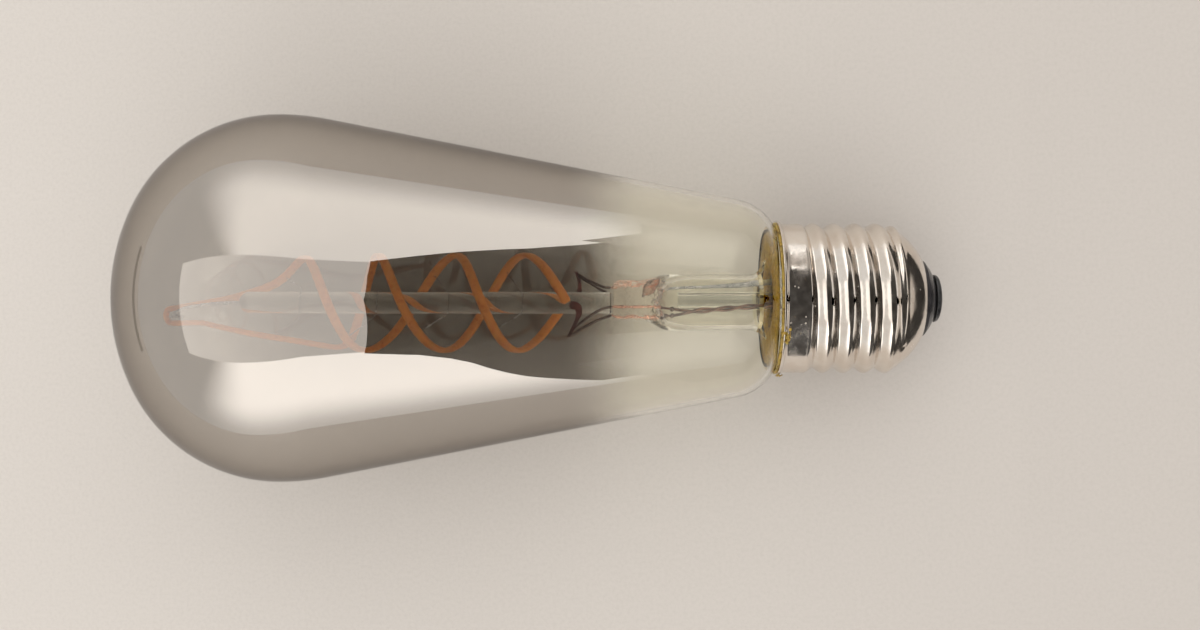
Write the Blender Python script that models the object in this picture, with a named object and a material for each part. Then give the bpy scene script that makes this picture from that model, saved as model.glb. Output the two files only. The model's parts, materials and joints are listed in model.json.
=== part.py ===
"""A dead LED filament lamp: smoke-grey ST64 bulb on an E27 screw cap, lying on its side.

Every piece is modelled in the lamp's own frame, in millimetres: z runs along the axis from the
tip of the centre contact to the crown, +x is the side that ends up on top, and +y stays +y.
An empty lays the whole lamp down on the widest glass and the last crest of the thread.
"""

import math

import bmesh
import bpy
from mathutils import Matrix, Vector

MM = 0.001

# Bulb, as arcs that run into each other from the crown down to the mouth
BULB_LENGTH = 143.8
BULB_RADIUS = 32.0
CROWN_ARC = 36.8
SHOULDER_ARC = 27.6
FLANK_ARC = 42.6
CONE_ANGLE = 10.96
NECK_ARC = 8.9
NECK_TURN_END = 64.2
NECK_ARC_Z = 37.36
GLASS_WALL = 0.9
BULB_SEGMENTS = 40

# Screw cap
THREAD_PITCH = 3.629
THREAD_CREST = 13.2
THREAD_ROOT = 12.25
THREAD_SHARPNESS = 0.7
THREAD_TOP_CREST = 22.6
THREAD_FADE_TOP = (23.8, 25.0)
THREAD_FADE_NOSE = (7.6, 9.48)
THREAD_ROWS_PER_TURN = 5
RIM_Z = 29.1
RIM_RADIUS = 13.7
RIM_HEIGHT = 1.1
RIM_GROOVE_ARC = 0.6
RIM_TURN = (-90.0, -20.0)
SKIRT_RADIUS = 13.1
NOSE_ARC = 12.36
NOSE_ARC_CENTRE = (1.57, 14.7)
NOSE_OPENING_RADIUS = 7.2
CAP_WALL = 0.35
CAP_SEGMENTS = 32

# Contact end: points (radius, z) from the tip outwards and up
CONTACT_FLAT = 1.7
CONTACT_RADIUS = 4.16
CONTACT_DOME = ((CONTACT_FLAT, 0.0), (3.0, 0.16), (3.91, 0.5), (CONTACT_RADIUS, 0.85))
INSULATOR_FOOT_Z = 1.25
INSULATOR_TOP_Z = 7.0
INSULATOR_SIDE = ((4.31, 1.55), (5.51, 2.25), (6.65, 3.1), (6.7, 4.5))
INSULATOR_SEAT = (147.0, 131.0)
INSULATOR_SEAT_GAP = 0.4
INSULATOR_TOP_WIDTH = 2.0
SHANK_RADIUS = 1.1
SHANK_TOP_Z = 7.6
CONTACT_SEGMENTS = 24

# Cement between the cap's skirt and the flare
CEMENT_INNER = ((8.2, 29.05), (7.6, 28.7), (7.6, 27.2), (10.8, 26.2), (11.4, 25.5))
CEMENT_SHOULDER = ((25.5, 0.0), (28.7, 0.0), (28.95, -0.3))

# Stem: flare, tube and press, which sit a little off the lamp's axis
STEM_Y = -0.75
STEM_RADIUS = 4.9
STEM_WALL = 0.8
FLARE_RADIUS = 11.75
FLARE_Z = 30.2
FLARE_ARC = 3.0
THROAT_LIFT = 0.4
PRESS_Y = -0.3
PRESS_TOP_Z = 57.5
STEM_SEGMENTS = 24
# Sections (half x, half y, z, centre y, squareness): the closed end of the bore, then the press
BORE_END = ((1.2, 1.5, 49.9, STEM_Y, 2.0), (3.0, 3.3, 48.8, STEM_Y, 2.0))
BORE_END_Z = 47.0
PRESS_SECTIONS = (
    (STEM_RADIUS, STEM_RADIUS, 47.8, STEM_Y, 2.0),
    (4.3, 4.6, 49.4, -0.6, 2.0),
    (3.6, 4.0, 50.6, -0.45, 2.4),
    (3.2, 3.6, 52.2, PRESS_Y, 3.0),
    (3.1, 3.5, 56.7, PRESS_Y, 3.0),
    (2.85, 3.2, PRESS_TOP_Z, PRESS_Y, 3.0),
)
EXHAUST_CENTRE = (-0.6, -0.5)
EXHAUST_RADIUS = 1.6
EXHAUST_BORE = 1.0
EXHAUST_ENDS = (21.8, 46.5)
# Where its drawn-off tip widens, as (radius, height above the low end)
EXHAUST_TIP = ((0.0, 0.0), (0.8, 0.7), (1.3, 2.2), (EXHAUST_RADIUS, 4.5))
EXHAUST_TIP_BORE = ((EXHAUST_BORE, 5.0), (0.6, 3.0), (0.0, 2.4))

# Post and the wires that stand on it
POST_Y = -0.8
POST_RADIUS = 1.9
POST_ENDS = (57.9, 122.8)
ANCHOR_ROOTS = (73.4, 86.3, 98.8, 112.2)
ANCHOR_RISE_FRONT = 4.5
ANCHOR_RISE_BACK = 3.0
ANCHOR_WIRE = 0.16
ANCHOR_HOLE = 0.46
ANCHOR_HOLE_REACH = 4.0
ANCHOR_TIP_GAP = 0.2
HOOK_WIRE = 0.3
HOOK_Y = -3.1
HOOK_Z = 134.3
HOOK_ROUTE = (
    (0.2, POST_Y, 123.2), (0.9, -1.0, 127.0), (1.6, -1.8, 131.9), (1.6, HOOK_Y, 134.1),
    (0.6, HOOK_Y, HOOK_Z), (-0.6, HOOK_Y, HOOK_Z), (-1.6, HOOK_Y, 134.2), (-1.9, -3.5, 132.9),
)

# Filament: one strip, two strands of a right-handed double helix, folded over the hook
FILAMENT_WIDTH = 1.7
FILAMENT_THICKNESS = 1.1
FILAMENT_RADIUS = 8.3
FILAMENT_STEP = 2.2
STRAND_A_START = 0
STRAND_A_QUARTERS = (65.6, 72.95, 80.0, 86.9, 93.8, 98.6, 102.4, 106.6)
STRAND_A_TOP = ((650, 5.8, 120.0), (655, 3.9, 129.0))
STRAND_B_START = 180
STRAND_B_QUARTERS = (65.95, 74.0, 80.15, 85.2, 92.9, 100.7, 106.3, 111.7)
STRAND_B_TOP = ((858, 5.4, 116.9), (885, 3.4, 124.5))
STRAND_SAMPLES = 90
STRAND_END_INSET = 0.6
FOLD_GAP = 0.45
FOLD_TURN_Z = (118.0, 130.0)

# Leads
LEAD_WIRE = 0.2
SEAL_WIRE = 0.2
SEAL_HOLE = 0.45
SEAL_ENDS = (49.4, 57.8)
SEAL_UPPER = (-1.6, 1.9)
SEAL_LOWER_1 = (2.3, -1.5)
SEAL_LOWER_2 = (1.0, -3.0)
SEALS = {"upper": SEAL_UPPER, "lower_1": SEAL_LOWER_1, "lower_2": SEAL_LOWER_2}
KNOT_Z = 47.5
KNOT_RADIUS = 0.42
KNOTS = ((2.5, -1.85), (1.6, -2.95))
TWIST_PITCH = 8.0
TWIST_RADIUS = 0.36
TWIST_ENDS = (45.6, 21.0)
TWIST_FROM = (2.6, -2.4)
TWIST_DRIFT = (-0.4, 1.9)
TWIST_STEPS = 24
LEAD_LOWER_ROUTE = (
    (*SEAL_LOWER_1, 58.1), (2.5, -1.9, 59.6), (2.6, -3.3, 62.0), (2.6, -5.0, 64.2), (2.6, -5.75, 64.9),
    (2.4, -6.1, 64.5), (2.2, -5.3, 63.2), (1.6, -3.9, 60.4), (*SEAL_LOWER_2, 58.1),
)
LEAD_UPPER_ROUTE = (
    (*SEAL_UPPER, 58.1), (-1.8, 2.0, 59.2), (-2.3, 2.9, 61.2), (-2.6, 4.0, 63.1), (-2.9, 4.2, 63.5),
    (-3.1, 3.7, 63.2), (-3.0, 2.6, 61.4), (-2.9, 1.4, 59.4), (-2.7, 1.2, 58.6),
)
OUTER_UPPER_ROUTE = (
    (*SEAL_UPPER, 49.1), (-1.3, 1.9, 46.0), (-0.6, 2.1, 40.0), (-0.2, 2.6, 33.0), (0.4, 3.4, 26.5),
    (1.2, 4.6, 21.2),
)
OUTER_UPPER_WIRE = 0.25

# Tabs that end the filament, and the bent strips from them towards the leads
TAB_SIZE = (1.3, 2.0, 2.4)
TAB_GAP = 0.8
TAB_DRIFT = 0.6
TAB_LINK_WIRE = 0.22
TAB_LINK_FRONT = ((6.7, -4.0, 64.2), (4.5, -6.6, 65.3), (3.4, -6.9, 65.6))
TAB_LINK_REAR = ((-6.3, 3.4, 63.4), (-5.2, 4.6, 63.9), (-3.6, 4.9, 64.2))

# Driver inside the cap
BOARD_SIZE = (1.0, 13.0, 11.5)
BOARD_CENTRE = (0.0, 0.0, 14.7)
CHIP_SIZE = (1.5, 4.9, 3.9)
CHIP_PLACE = (1.0, -2.8)
RECTIFIER_SIZE = (1.6, 4.6, 4.0)
RECTIFIER_PLACE = (-1.5, 2.8)
CAPACITOR_RADIUS = 3.0
CAPACITOR_LENGTH = 9.0
CAPACITOR_Y = 2.6
CAPACITOR_EDGE = 0.3
# The rolled groove near its top, as (inset, depth below the top)
CAPACITOR_GROOVE = ((0.0, 1.6), (0.3, 1.2), (0.0, 0.8), (0.2, 0.0))
RESISTOR_RADIUS = 1.1
RESISTOR_LENGTH = 6.0
RESISTOR_Y = -4.2
RESISTOR_LIFT = 0.4
RESISTOR_FOOT_Z = 10.2
# Half of its dog-bone shape, as (share of the radius, distance from the end)
RESISTOR_END = ((0.7, 0.0), (1.0, 0.5), (0.85, 1.5))
FEED_WIRE = 0.3
CONTACT_FEED_WIRE = 0.24
CONTACT_FEED_ROUTE = ((2.3, -3.4, 9.2), (1.7, -1.5, 8.6), (0.55, -0.1, 8.25))
SHELL_FEED_ROUTE = ((0.0, -6.8, 12.0), (0.0, -8.4, 12.6), (0.0, -10.0, 14.6), (0.0, -11.2, 17.0))

CLEARANCE = 0.3


def clear_scene():
    for item in list(bpy.data.objects):
        bpy.data.objects.remove(item, do_unlink=True)


def material(name, colour, roughness, metallic=0.0, transmission=0.0):
    made = bpy.data.materials.new(name)
    made.use_nodes = True
    shader = made.node_tree.nodes["Principled BSDF"]
    shader.inputs["Base Color"].default_value = (*colour, 1.0)
    shader.inputs["Roughness"].default_value = roughness
    shader.inputs["Metallic"].default_value = metallic
    shader.inputs["Transmission Weight"].default_value = transmission
    made.diffuse_color = (*colour, 1.0)
    return made


def add_object(name, data, finish, lamp):
    made = bpy.data.objects.new(name, data)
    made.data.materials.append(finish)
    bpy.context.scene.collection.objects.link(made)
    made.parent = lamp
    return made


def add_mesh(name, bm, finish, lamp, sharp_angle=40):
    """The bmesh, drawn in millimetres, as an object in metres under the lamp's empty."""
    bmesh.ops.scale(bm, vec=(MM, MM, MM), verts=bm.verts)
    mesh = bpy.data.meshes.new(name)
    bm.to_mesh(mesh)
    bm.free()
    mesh.shade_smooth()
    mesh.set_sharp_from_angle(angle=math.radians(sharp_angle))
    return add_object(name, mesh, finish, lamp)


def arc(centre_r, centre_z, radius, start, end, steps):
    """Points (r, z) on an arc, its angles in degrees from the +z axis towards +r."""
    angles = [math.radians(start + (end - start) * i / steps) for i in range(steps + 1)]
    return [(centre_r + radius * math.sin(a), centre_z + radius * math.cos(a)) for a in angles]


def ring(bm, segments, radius_at, z, centre=(0.0, 0.0)):
    """A ring of vertices whose flats, not its corners, lie at the stated radius."""
    spread = 1 / math.cos(math.pi / segments)
    made = []
    for i in range(segments):
        a = 2 * math.pi * (i + 0.5) / segments
        r = radius_at(a) * spread
        made.append(bm.verts.new((centre[0] + r * math.cos(a), centre[1] + r * math.sin(a), z)))
    return made


def join_rings(bm, lower, upper):
    """Side faces between two rings, facing out where upper lies further along +z."""
    count = len(lower)
    for i in range(count):
        j = (i + 1) % count
        bm.faces.new((lower[i], lower[j], upper[j], upper[i]))


def turned(name, profile, segments, finish, lamp, centre=(0.0, 0.0), closed=False, sharp_angle=40):
    """A turned piece. The profile runs up its outer side; a point on the axis makes a pole,
    an end off the axis is capped, and a closed profile is a ring without caps."""
    bm = bmesh.new()
    rows = []
    for r, z in profile:
        if r < 1e-6:
            rows.append([bm.verts.new((centre[0], centre[1], z))])
        else:
            rows.append(ring(bm, segments, lambda a, r=r: r, z, centre))
    pairs = list(zip(rows, rows[1:]))
    if closed:
        pairs.append((rows[-1], rows[0]))
    for lower, upper in pairs:
        if len(lower) == 1:
            for i in range(segments):
                bm.faces.new((lower[0], upper[(i + 1) % segments], upper[i]))
        elif len(upper) == 1:
            for i in range(segments):
                bm.faces.new((lower[i], lower[(i + 1) % segments], upper[0]))
        else:
            join_rings(bm, lower, upper)
    if not closed and len(rows[0]) > 1:
        bm.faces.new(list(reversed(rows[0])))
    if not closed and len(rows[-1]) > 1:
        bm.faces.new(rows[-1])
    bmesh.ops.recalc_face_normals(bm, faces=bm.faces)
    return add_mesh(name, bm, finish, lamp, sharp_angle)


def wire(name, points, radius, finish, lamp, sides=2):
    """A round wire along the points, with closed ends."""
    curve = bpy.data.curves.new(name, "CURVE")
    curve.dimensions = "3D"
    curve.bevel_depth = radius * MM
    curve.bevel_resolution = sides
    curve.use_fill_caps = True
    spline = curve.splines.new("POLY")
    spline.points.add(len(points) - 1)
    for slot, point in zip(spline.points, points):
        slot.co = (*(Vector(point) * MM), 1.0)
        slot.radius = 1.0
    return add_object(name, curve, finish, lamp)


def block(name, size, centre, finish, lamp, bevel=0.15):
    """A box with softened edges."""
    bm = bmesh.new()
    bmesh.ops.create_cube(bm, size=1.0)
    bmesh.ops.scale(bm, vec=size, verts=bm.verts)
    bmesh.ops.bevel(bm, geom=bm.edges, offset=bevel, segments=1, affect="EDGES")
    bmesh.ops.translate(bm, vec=centre, verts=bm.verts)
    return add_mesh(name, bm, finish, lamp, 30)


def smooth_path(points, step):
    """A Catmull-Rom curve through the points, read at even steps along its length."""
    ends = [points[0] * 2 - points[1], *points, points[-1] * 2 - points[-2]]
    dense = []
    for before, start, end, after in zip(ends, ends[1:], ends[2:], ends[3:]):
        for i in range(16):
            t = i / 16
            dense.append(
                0.5 * (2 * start + (end - before) * t
                       + (2 * before - 5 * start + 4 * end - after) * t * t
                       + (3 * start - before - 3 * end + after) * t * t * t)
            )
    dense.append(points[-1].copy())
    lengths = [0.0]
    for a, b in zip(dense, dense[1:]):
        lengths.append(lengths[-1] + (b - a).length)
    count = max(2, round(lengths[-1] / step))
    evened = []
    k = 0
    for i in range(count + 1):
        want = lengths[-1] * i / count
        while k < len(lengths) - 2 and lengths[k + 1] < want:
            k += 1
        share = (want - lengths[k]) / (lengths[k + 1] - lengths[k])
        evened.append(dense[k].lerp(dense[k + 1], min(max(share, 0.0), 1.0)))
    return evened


def bent_wire(name, points, radius, finish, lamp, step=0.9, sides=1):
    return wire(name, smooth_path([Vector(p) for p in points], step), radius, finish, lamp, sides)


def cut(target, cutter):
    """Takes the cutter's shape out of the target, for good."""
    cutter.hide_render = True
    cutter.display_type = "WIRE"
    boolean = target.modifiers.new(f"Cut {cutter.name}", "BOOLEAN")
    boolean.object = cutter
    boolean.operation = "DIFFERENCE"
    boolean.solver = "EXACT"


def bulb_profile():
    """The bulb's outline (r, z) from the crown to the mouth. Each arc starts where and as the
    one before it ends."""
    crown_z = BULB_LENGTH - CROWN_ARC
    shoulder_r = BULB_RADIUS - SHOULDER_ARC
    rise = math.sqrt((CROWN_ARC - SHOULDER_ARC) ** 2 - shoulder_r ** 2)
    shoulder_z = crown_z + rise
    join = math.degrees(math.atan2(shoulder_r, rise))
    crown = arc(0.0, crown_z, CROWN_ARC, 0.0, join, 4)
    shoulder = arc(shoulder_r, shoulder_z, SHOULDER_ARC, join, 90.0, 8)
    flank = arc(BULB_RADIUS - FLANK_ARC, shoulder_z, FLANK_ARC, 90.0, 90.0 + CONE_ANGLE, 2)
    slope = math.radians(CONE_ANGLE)
    end_r, end_z = flank[-1]
    along = (end_z + NECK_ARC * math.sin(slope) - NECK_ARC_Z) / math.cos(slope)
    neck_r = end_r - along * math.sin(slope) - NECK_ARC * math.cos(slope)
    neck = arc(neck_r, NECK_ARC_Z, NECK_ARC, 90.0 + CONE_ANGLE, 90.0 + NECK_TURN_END, 6)
    return crown + shoulder[1:] + flank[1:] + neck


def make_bulb(lamp, finish):
    bm = bmesh.new()
    outline = bulb_profile()
    pole = bm.verts.new((0.0, 0.0, outline[0][1]))
    rows = [ring(bm, BULB_SEGMENTS, lambda a, r=r: r, z) for r, z in outline[1:]]
    for i in range(BULB_SEGMENTS):
        bm.faces.new((rows[0][i], rows[0][(i + 1) % BULB_SEGMENTS], pole))
    for upper, lower in zip(rows, rows[1:]):
        join_rings(bm, lower, upper)
    bulb = add_mesh("glass_envelope", bm, finish, lamp)
    wall = bulb.modifiers.new("Glass wall", "SOLIDIFY")
    wall.thickness = GLASS_WALL * MM
    wall.offset = -1.0
    wall.use_even_offset = True
    return bulb


def ramp(value, start, end):
    """0 at start, 1 at end, smooth between."""
    t = min(max((value - start) / (end - start), 0.0), 1.0)
    return t * t * (3 - 2 * t)


def cap_radius(z, angle):
    """Radius of the shell's outer side below the rim: skirt, rolled thread, nose."""
    turns = (z - THREAD_TOP_CREST) / THREAD_PITCH - (angle - math.pi / 2) / (2 * math.pi)
    wave = (0.5 + 0.5 * math.cos(2 * math.pi * turns)) ** THREAD_SHARPNESS
    thread = THREAD_ROOT + (THREAD_CREST - THREAD_ROOT) * wave
    nose_r, nose_z = NOSE_ARC_CENTRE
    nose = nose_r + math.sqrt(max(NOSE_ARC ** 2 - (nose_z - min(z, nose_z)) ** 2, 0.0))
    into_skirt = ramp(z, *THREAD_FADE_TOP)
    into_nose = 1.0 - ramp(z, *THREAD_FADE_NOSE)
    radius = thread + (SKIRT_RADIUS - thread) * into_skirt
    return radius + (min(nose, THREAD_CREST) - radius) * into_nose


def make_cap_shell(lamp, finish):
    bm = bmesh.new()
    rim = arc(RIM_RADIUS, RIM_Z - RIM_HEIGHT, RIM_GROOVE_ARC, *RIM_TURN, 3)
    rows = [ring(bm, CAP_SEGMENTS, lambda a: RIM_RADIUS, RIM_Z)]
    for r, z in reversed(rim[:-1]):
        rows.append(ring(bm, CAP_SEGMENTS, lambda a, r=r: r, z))
    step = THREAD_PITCH / THREAD_ROWS_PER_TURN
    z = THREAD_FADE_TOP[1] + 0.3
    while z > THREAD_FADE_NOSE[0]:
        rows.append(ring(bm, CAP_SEGMENTS, lambda a, z=z: cap_radius(z, a), z))
        z -= step
    nose_r, nose_z = NOSE_ARC_CENTRE
    first = math.degrees(math.acos((THREAD_FADE_NOSE[0] - 0.5 - nose_z) / NOSE_ARC))
    last = 180.0 - math.degrees(math.asin((NOSE_OPENING_RADIUS - nose_r) / NOSE_ARC))
    for r, z in arc(nose_r, nose_z, NOSE_ARC, first, last, 4):
        rows.append(ring(bm, CAP_SEGMENTS, lambda a, r=r: r, z))
    for upper, lower in zip(rows, rows[1:]):
        join_rings(bm, lower, upper)
    shell = add_mesh("cap_shell", bm, finish, lamp, 60)
    wall = shell.modifiers.new("Sheet", "SOLIDIFY")
    wall.thickness = CAP_WALL * MM
    wall.offset = -1.0
    return shell


def make_contact_end(lamp, black, contact_metal):
    nose_r, nose_z = NOSE_ARC_CENTRE
    inside = NOSE_ARC - CAP_WALL - INSULATOR_SEAT_GAP
    seat = arc(nose_r, nose_z, inside, *INSULATOR_SEAT, 3)
    outline = [
        (SHANK_RADIUS + CLEARANCE, INSULATOR_TOP_Z),
        (SHANK_RADIUS + CLEARANCE, INSULATOR_FOOT_Z + CLEARANCE),
        *INSULATOR_SIDE,
        *seat,
        (seat[-1][0] - INSULATOR_TOP_WIDTH, INSULATOR_TOP_Z),
    ]
    turned("cap_insulator", outline, CAP_SEGMENTS, black, lamp, closed=True)
    disc = [
        *CONTACT_DOME,
        (CONTACT_RADIUS, INSULATOR_FOOT_Z),
        (SHANK_RADIUS, INSULATOR_FOOT_Z),
        (SHANK_RADIUS, SHANK_TOP_Z),
    ]
    turned("centre_contact", disc, CONTACT_SEGMENTS, contact_metal, lamp)


def make_cement(lamp, finish):
    inner = SKIRT_RADIUS - CAP_WALL - CLEARANCE
    outline = [*CEMENT_INNER, *((inner + inset, z) for z, inset in CEMENT_SHOULDER)]
    turned("cement_ring", outline, CAP_SEGMENTS, finish, lamp, closed=True)


def oval(bm, half_x, half_y, z, centre_y, squareness=2.0):
    """A ring between an ellipse (squareness 2) and a rounded rectangle (3 or more)."""
    made = []
    for i in range(STEM_SEGMENTS):
        a = 2 * math.pi * (i + 0.5) / STEM_SEGMENTS
        c, s = math.cos(a), math.sin(a)
        reach = (abs(c) ** squareness + abs(s) ** squareness) ** (-1 / squareness)
        made.append(bm.verts.new((half_x * c * reach, centre_y + half_y * s * reach, z)))
    return made


def make_stem(lamp, finish):
    """The flare, its tube and the flattened press on top, blown and pressed as one piece."""
    bore = STEM_RADIUS - STEM_WALL
    throat_z = FLARE_Z + THROAT_LIFT + FLARE_ARC
    throat_r = STEM_RADIUS + FLARE_ARC
    inner_arc = FLARE_ARC + STEM_WALL
    bm = bmesh.new()
    rows = [oval(bm, *section) for section in BORE_END]
    rows.append(oval(bm, bore, bore, BORE_END_Z, STEM_Y))
    for r, z in arc(throat_r, throat_z, inner_arc, -90.0, -180.0, 4):
        rows.append(oval(bm, r, r, z, STEM_Y * (throat_r - r) / inner_arc))
    rows.append(oval(bm, FLARE_RADIUS, FLARE_RADIUS, FLARE_Z - STEM_WALL, 0.0))
    rows.append(oval(bm, FLARE_RADIUS, FLARE_RADIUS, FLARE_Z, 0.0))
    for r, z in arc(throat_r, throat_z, FLARE_ARC, -180.0, -90.0, 4):
        rows.append(oval(bm, r, r, z, STEM_Y * (throat_r - r) / FLARE_ARC))
    rows += [oval(bm, *section) for section in PRESS_SECTIONS]
    for first, second in zip(rows, rows[1:]):
        join_rings(bm, first, second)
    bm.faces.new(list(reversed(rows[0])))
    bm.faces.new(rows[-1])
    bmesh.ops.recalc_face_normals(bm, faces=bm.faces)
    stem = add_mesh("stem_flare", bm, finish, lamp, 50)
    for label, place in SEALS.items():
        outline = [(SEAL_HOLE, KNOT_Z), (SEAL_HOLE, PRESS_TOP_Z + 1.0)]
        cut(stem, turned(f"seal_hole_{label}", outline, 8, finish, lamp, centre=place))
    return stem


def make_exhaust_tube(lamp, finish):
    low, high = EXHAUST_ENDS
    outline = [(r, low + rise) for r, rise in EXHAUST_TIP]
    outline += [(EXHAUST_RADIUS, high), (EXHAUST_BORE, high)]
    outline += [(r, low + rise) for r, rise in EXHAUST_TIP_BORE]
    turned("exhaust_tube", outline, 16, finish, lamp, centre=EXHAUST_CENTRE)


def cylindrical(angle, radius, z):
    """A point about the post's axis, its angle in degrees from +x towards +y."""
    a = math.radians(angle)
    return Vector((radius * math.cos(a), POST_Y + radius * math.sin(a), z))


def strand_stations(start, quarters, top):
    """(angle, radius, z) of a strand: a station every quarter turn, then its run to the hook."""
    stations = []
    for i, z in enumerate(quarters):
        inset = STRAND_END_INSET if i in (0, len(quarters) - 1) else 0.0
        stations.append((start + 90 * i, FILAMENT_RADIUS - inset, z))
    return stations + list(top)


def strand_at(stations, share):
    """The strand's point at a share of its stations, smooth in angle, radius and height."""
    last = len(stations) - 1
    k = min(int(share * last), last - 1)
    t = share * last - k
    ends = [stations[max(k - 1, 0)], stations[k], stations[k + 1], stations[min(k + 2, last)]]
    values = []
    for before, start, end, after in zip(*ends):
        values.append(
            0.5 * (2 * start + (end - before) * t
                   + (2 * before - 5 * start + 4 * end - after) * t * t
                   + (3 * start - before - 3 * end + after) * t * t * t)
        )
    return values


def strand_point_at_height(stations, z):
    """The angle and radius at which a strand passes a height."""
    steps = 400
    best = min((strand_at(stations, i / steps) for i in range(steps + 1)), key=lambda v: abs(v[2] - z))
    return best[0], best[1]


def filament_path():
    """Centre points of the whole strip with the direction that its broad side faces."""
    a = strand_stations(STRAND_A_START, STRAND_A_QUARTERS, STRAND_A_TOP)
    b = strand_stations(STRAND_B_START, STRAND_B_QUARTERS, STRAND_B_TOP)
    shares = [i / STRAND_SAMPLES for i in range(STRAND_SAMPLES + 1)]
    up = [cylindrical(*strand_at(a, share)) for share in shares]
    down = [cylindrical(*strand_at(b, 1 - share)) for share in shares]
    leg = HOOK_WIRE + FOLD_GAP + FILAMENT_THICKNESS / 2
    fold = [
        Vector((0.0, HOOK_Y - leg * math.cos(t), HOOK_Z + leg * math.sin(t)))
        for t in (math.pi * i / 8 for i in range(9))
    ]
    path = smooth_path(up[::3] + fold[::2] + down[::3], FILAMENT_STEP)
    turned_path = []
    for point in path:
        outward = Vector((point.x, point.y - POST_Y, 0.0)).normalized()
        over_hook = Vector((0.0, point.y - HOOK_Y, max(point.z - HOOK_Z, 0.0) + 0.02)).normalized()
        share = ramp(point.z, *FOLD_TURN_Z)
        turned_path.append((point, (outward * (1 - share) + over_hook * share).normalized()))
    return turned_path


def make_filament(lamp, finish):
    path = filament_path()
    corners = []
    for i in range(6):
        a = math.radians(60 * i)
        corners.append((FILAMENT_WIDTH / 2 * math.cos(a), FILAMENT_THICKNESS / 1.732 * math.sin(a)))
    bm = bmesh.new()
    rows = []
    for i, (point, face) in enumerate(path):
        along = path[min(i + 1, len(path) - 1)][0] - path[max(i - 1, 0)][0]
        across = along.cross(face).normalized()
        normal = across.cross(along).normalized()
        rows.append([bm.verts.new(point + across * u + normal * v) for u, v in corners])
    for first, second in zip(rows, rows[1:]):
        join_rings(bm, first, second)
    bm.faces.new(list(reversed(rows[0])))
    bm.faces.new(rows[-1])
    bmesh.ops.recalc_face_normals(bm, faces=bm.faces)
    add_mesh("led_filament", bm, finish, lamp, 50)


def make_post(lamp, glass, finish):
    low, high = POST_ENDS
    dome = arc(0.0, high - POST_RADIUS, POST_RADIUS, 90.0, 0.0, 3)
    post = turned("glass_post", [(POST_RADIUS, low)] + dome, 16, glass, lamp, centre=(0.0, POST_Y))
    strands = (
        strand_stations(STRAND_A_START, STRAND_A_QUARTERS, STRAND_A_TOP),
        strand_stations(STRAND_B_START, STRAND_B_QUARTERS, STRAND_B_TOP),
    )
    for i, root in enumerate(ANCHOR_ROOTS):
        front, back = (strands[1], strands[0]) if i % 2 == 0 else strands
        front_angle, front_radius = strand_point_at_height(front, root + ANCHOR_RISE_FRONT)
        back_angle, back_radius = strand_point_at_height(back, root + ANCHOR_RISE_BACK)
        short = FILAMENT_THICKNESS / 2 + ANCHOR_WIRE + ANCHOR_TIP_GAP
        points = [
            cylindrical(front_angle, front_radius - short, root + ANCHOR_RISE_FRONT),
            cylindrical(front_angle, POST_RADIUS + 1.6, root + 0.5),
            cylindrical(front_angle, POST_RADIUS, root),
            cylindrical(front_angle + 180, POST_RADIUS, root),
            cylindrical(front_angle + 180, POST_RADIUS + 1.0, root + 0.2),
            cylindrical(back_angle, back_radius - short, root + ANCHOR_RISE_BACK),
        ]
        wire(f"anchor_wire_{i + 1}", points, ANCHOR_WIRE, finish, lamp, 1)
        hole = [(ANCHOR_HOLE, -ANCHOR_HOLE_REACH), (ANCHOR_HOLE, ANCHOR_HOLE_REACH)]
        cutter = turned(f"anchor_hole_{i + 1}", hole, 8, glass, lamp)
        cutter.location = Vector((0.0, POST_Y, root)) * MM
        cutter.rotation_euler = (0.0, math.pi / 2, math.radians(front_angle))
        cut(post, cutter)


def make_hook(lamp, finish):
    bent_wire("top_hook", HOOK_ROUTE, HOOK_WIRE, finish, lamp, step=0.8)


def twist_points(knot, turn):
    """One of the two wires twisted round each other, from under its knot down the stem."""
    start, end = TWIST_ENDS
    points = [Vector((*knot, KNOT_Z - KNOT_RADIUS - CLEARANCE))]
    for k in range(TWIST_STEPS + 1):
        share = k / TWIST_STEPS
        x, y = (a + b * share for a, b in zip(TWIST_FROM, TWIST_DRIFT))
        a = turn + 2 * math.pi * (start - end) * share / TWIST_PITCH
        around = Vector((math.cos(a), math.sin(a), 0.0)) * TWIST_RADIUS
        points.append(Vector((x, y, start + (end - start) * share)) + around)
    return points


def make_leads(lamp, dark, copper, grey, brown):
    low, high = SEAL_ENDS
    for label, place in SEALS.items():
        wire(f"seal_wire_{label}", [(*place, low), (*place, high)], SEAL_WIRE, copper, lamp)
    bent_wire("lead_wire_lower", LEAD_LOWER_ROUTE, LEAD_WIRE, dark, lamp)
    bent_wire("lead_wire_upper", LEAD_UPPER_ROUTE, LEAD_WIRE, dark, lamp)
    bent_wire("outer_lead_upper", OUTER_UPPER_ROUTE, OUTER_UPPER_WIRE, grey, lamp, step=1.5)
    for i, (knot, seal) in enumerate(zip(KNOTS, (SEAL_LOWER_1, SEAL_LOWER_2))):
        bead = arc(0.0, KNOT_Z, KNOT_RADIUS, 180.0, 0.0, 4)
        turned(f"weld_knot_{i + 1}", bead, 8, dark, lamp, centre=knot)
        tail = [(*seal, low - CLEARANCE), (*knot, KNOT_Z + KNOT_RADIUS + CLEARANCE)]
        wire(f"weld_tail_{i + 1}", tail, SEAL_WIRE, copper, lamp, 1)
        turn = math.pi * (0.6 - i)
        wire(f"outer_lead_lower_{i + 1}", twist_points(knot, turn), LEAD_WIRE, brown, lamp, 1)


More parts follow.
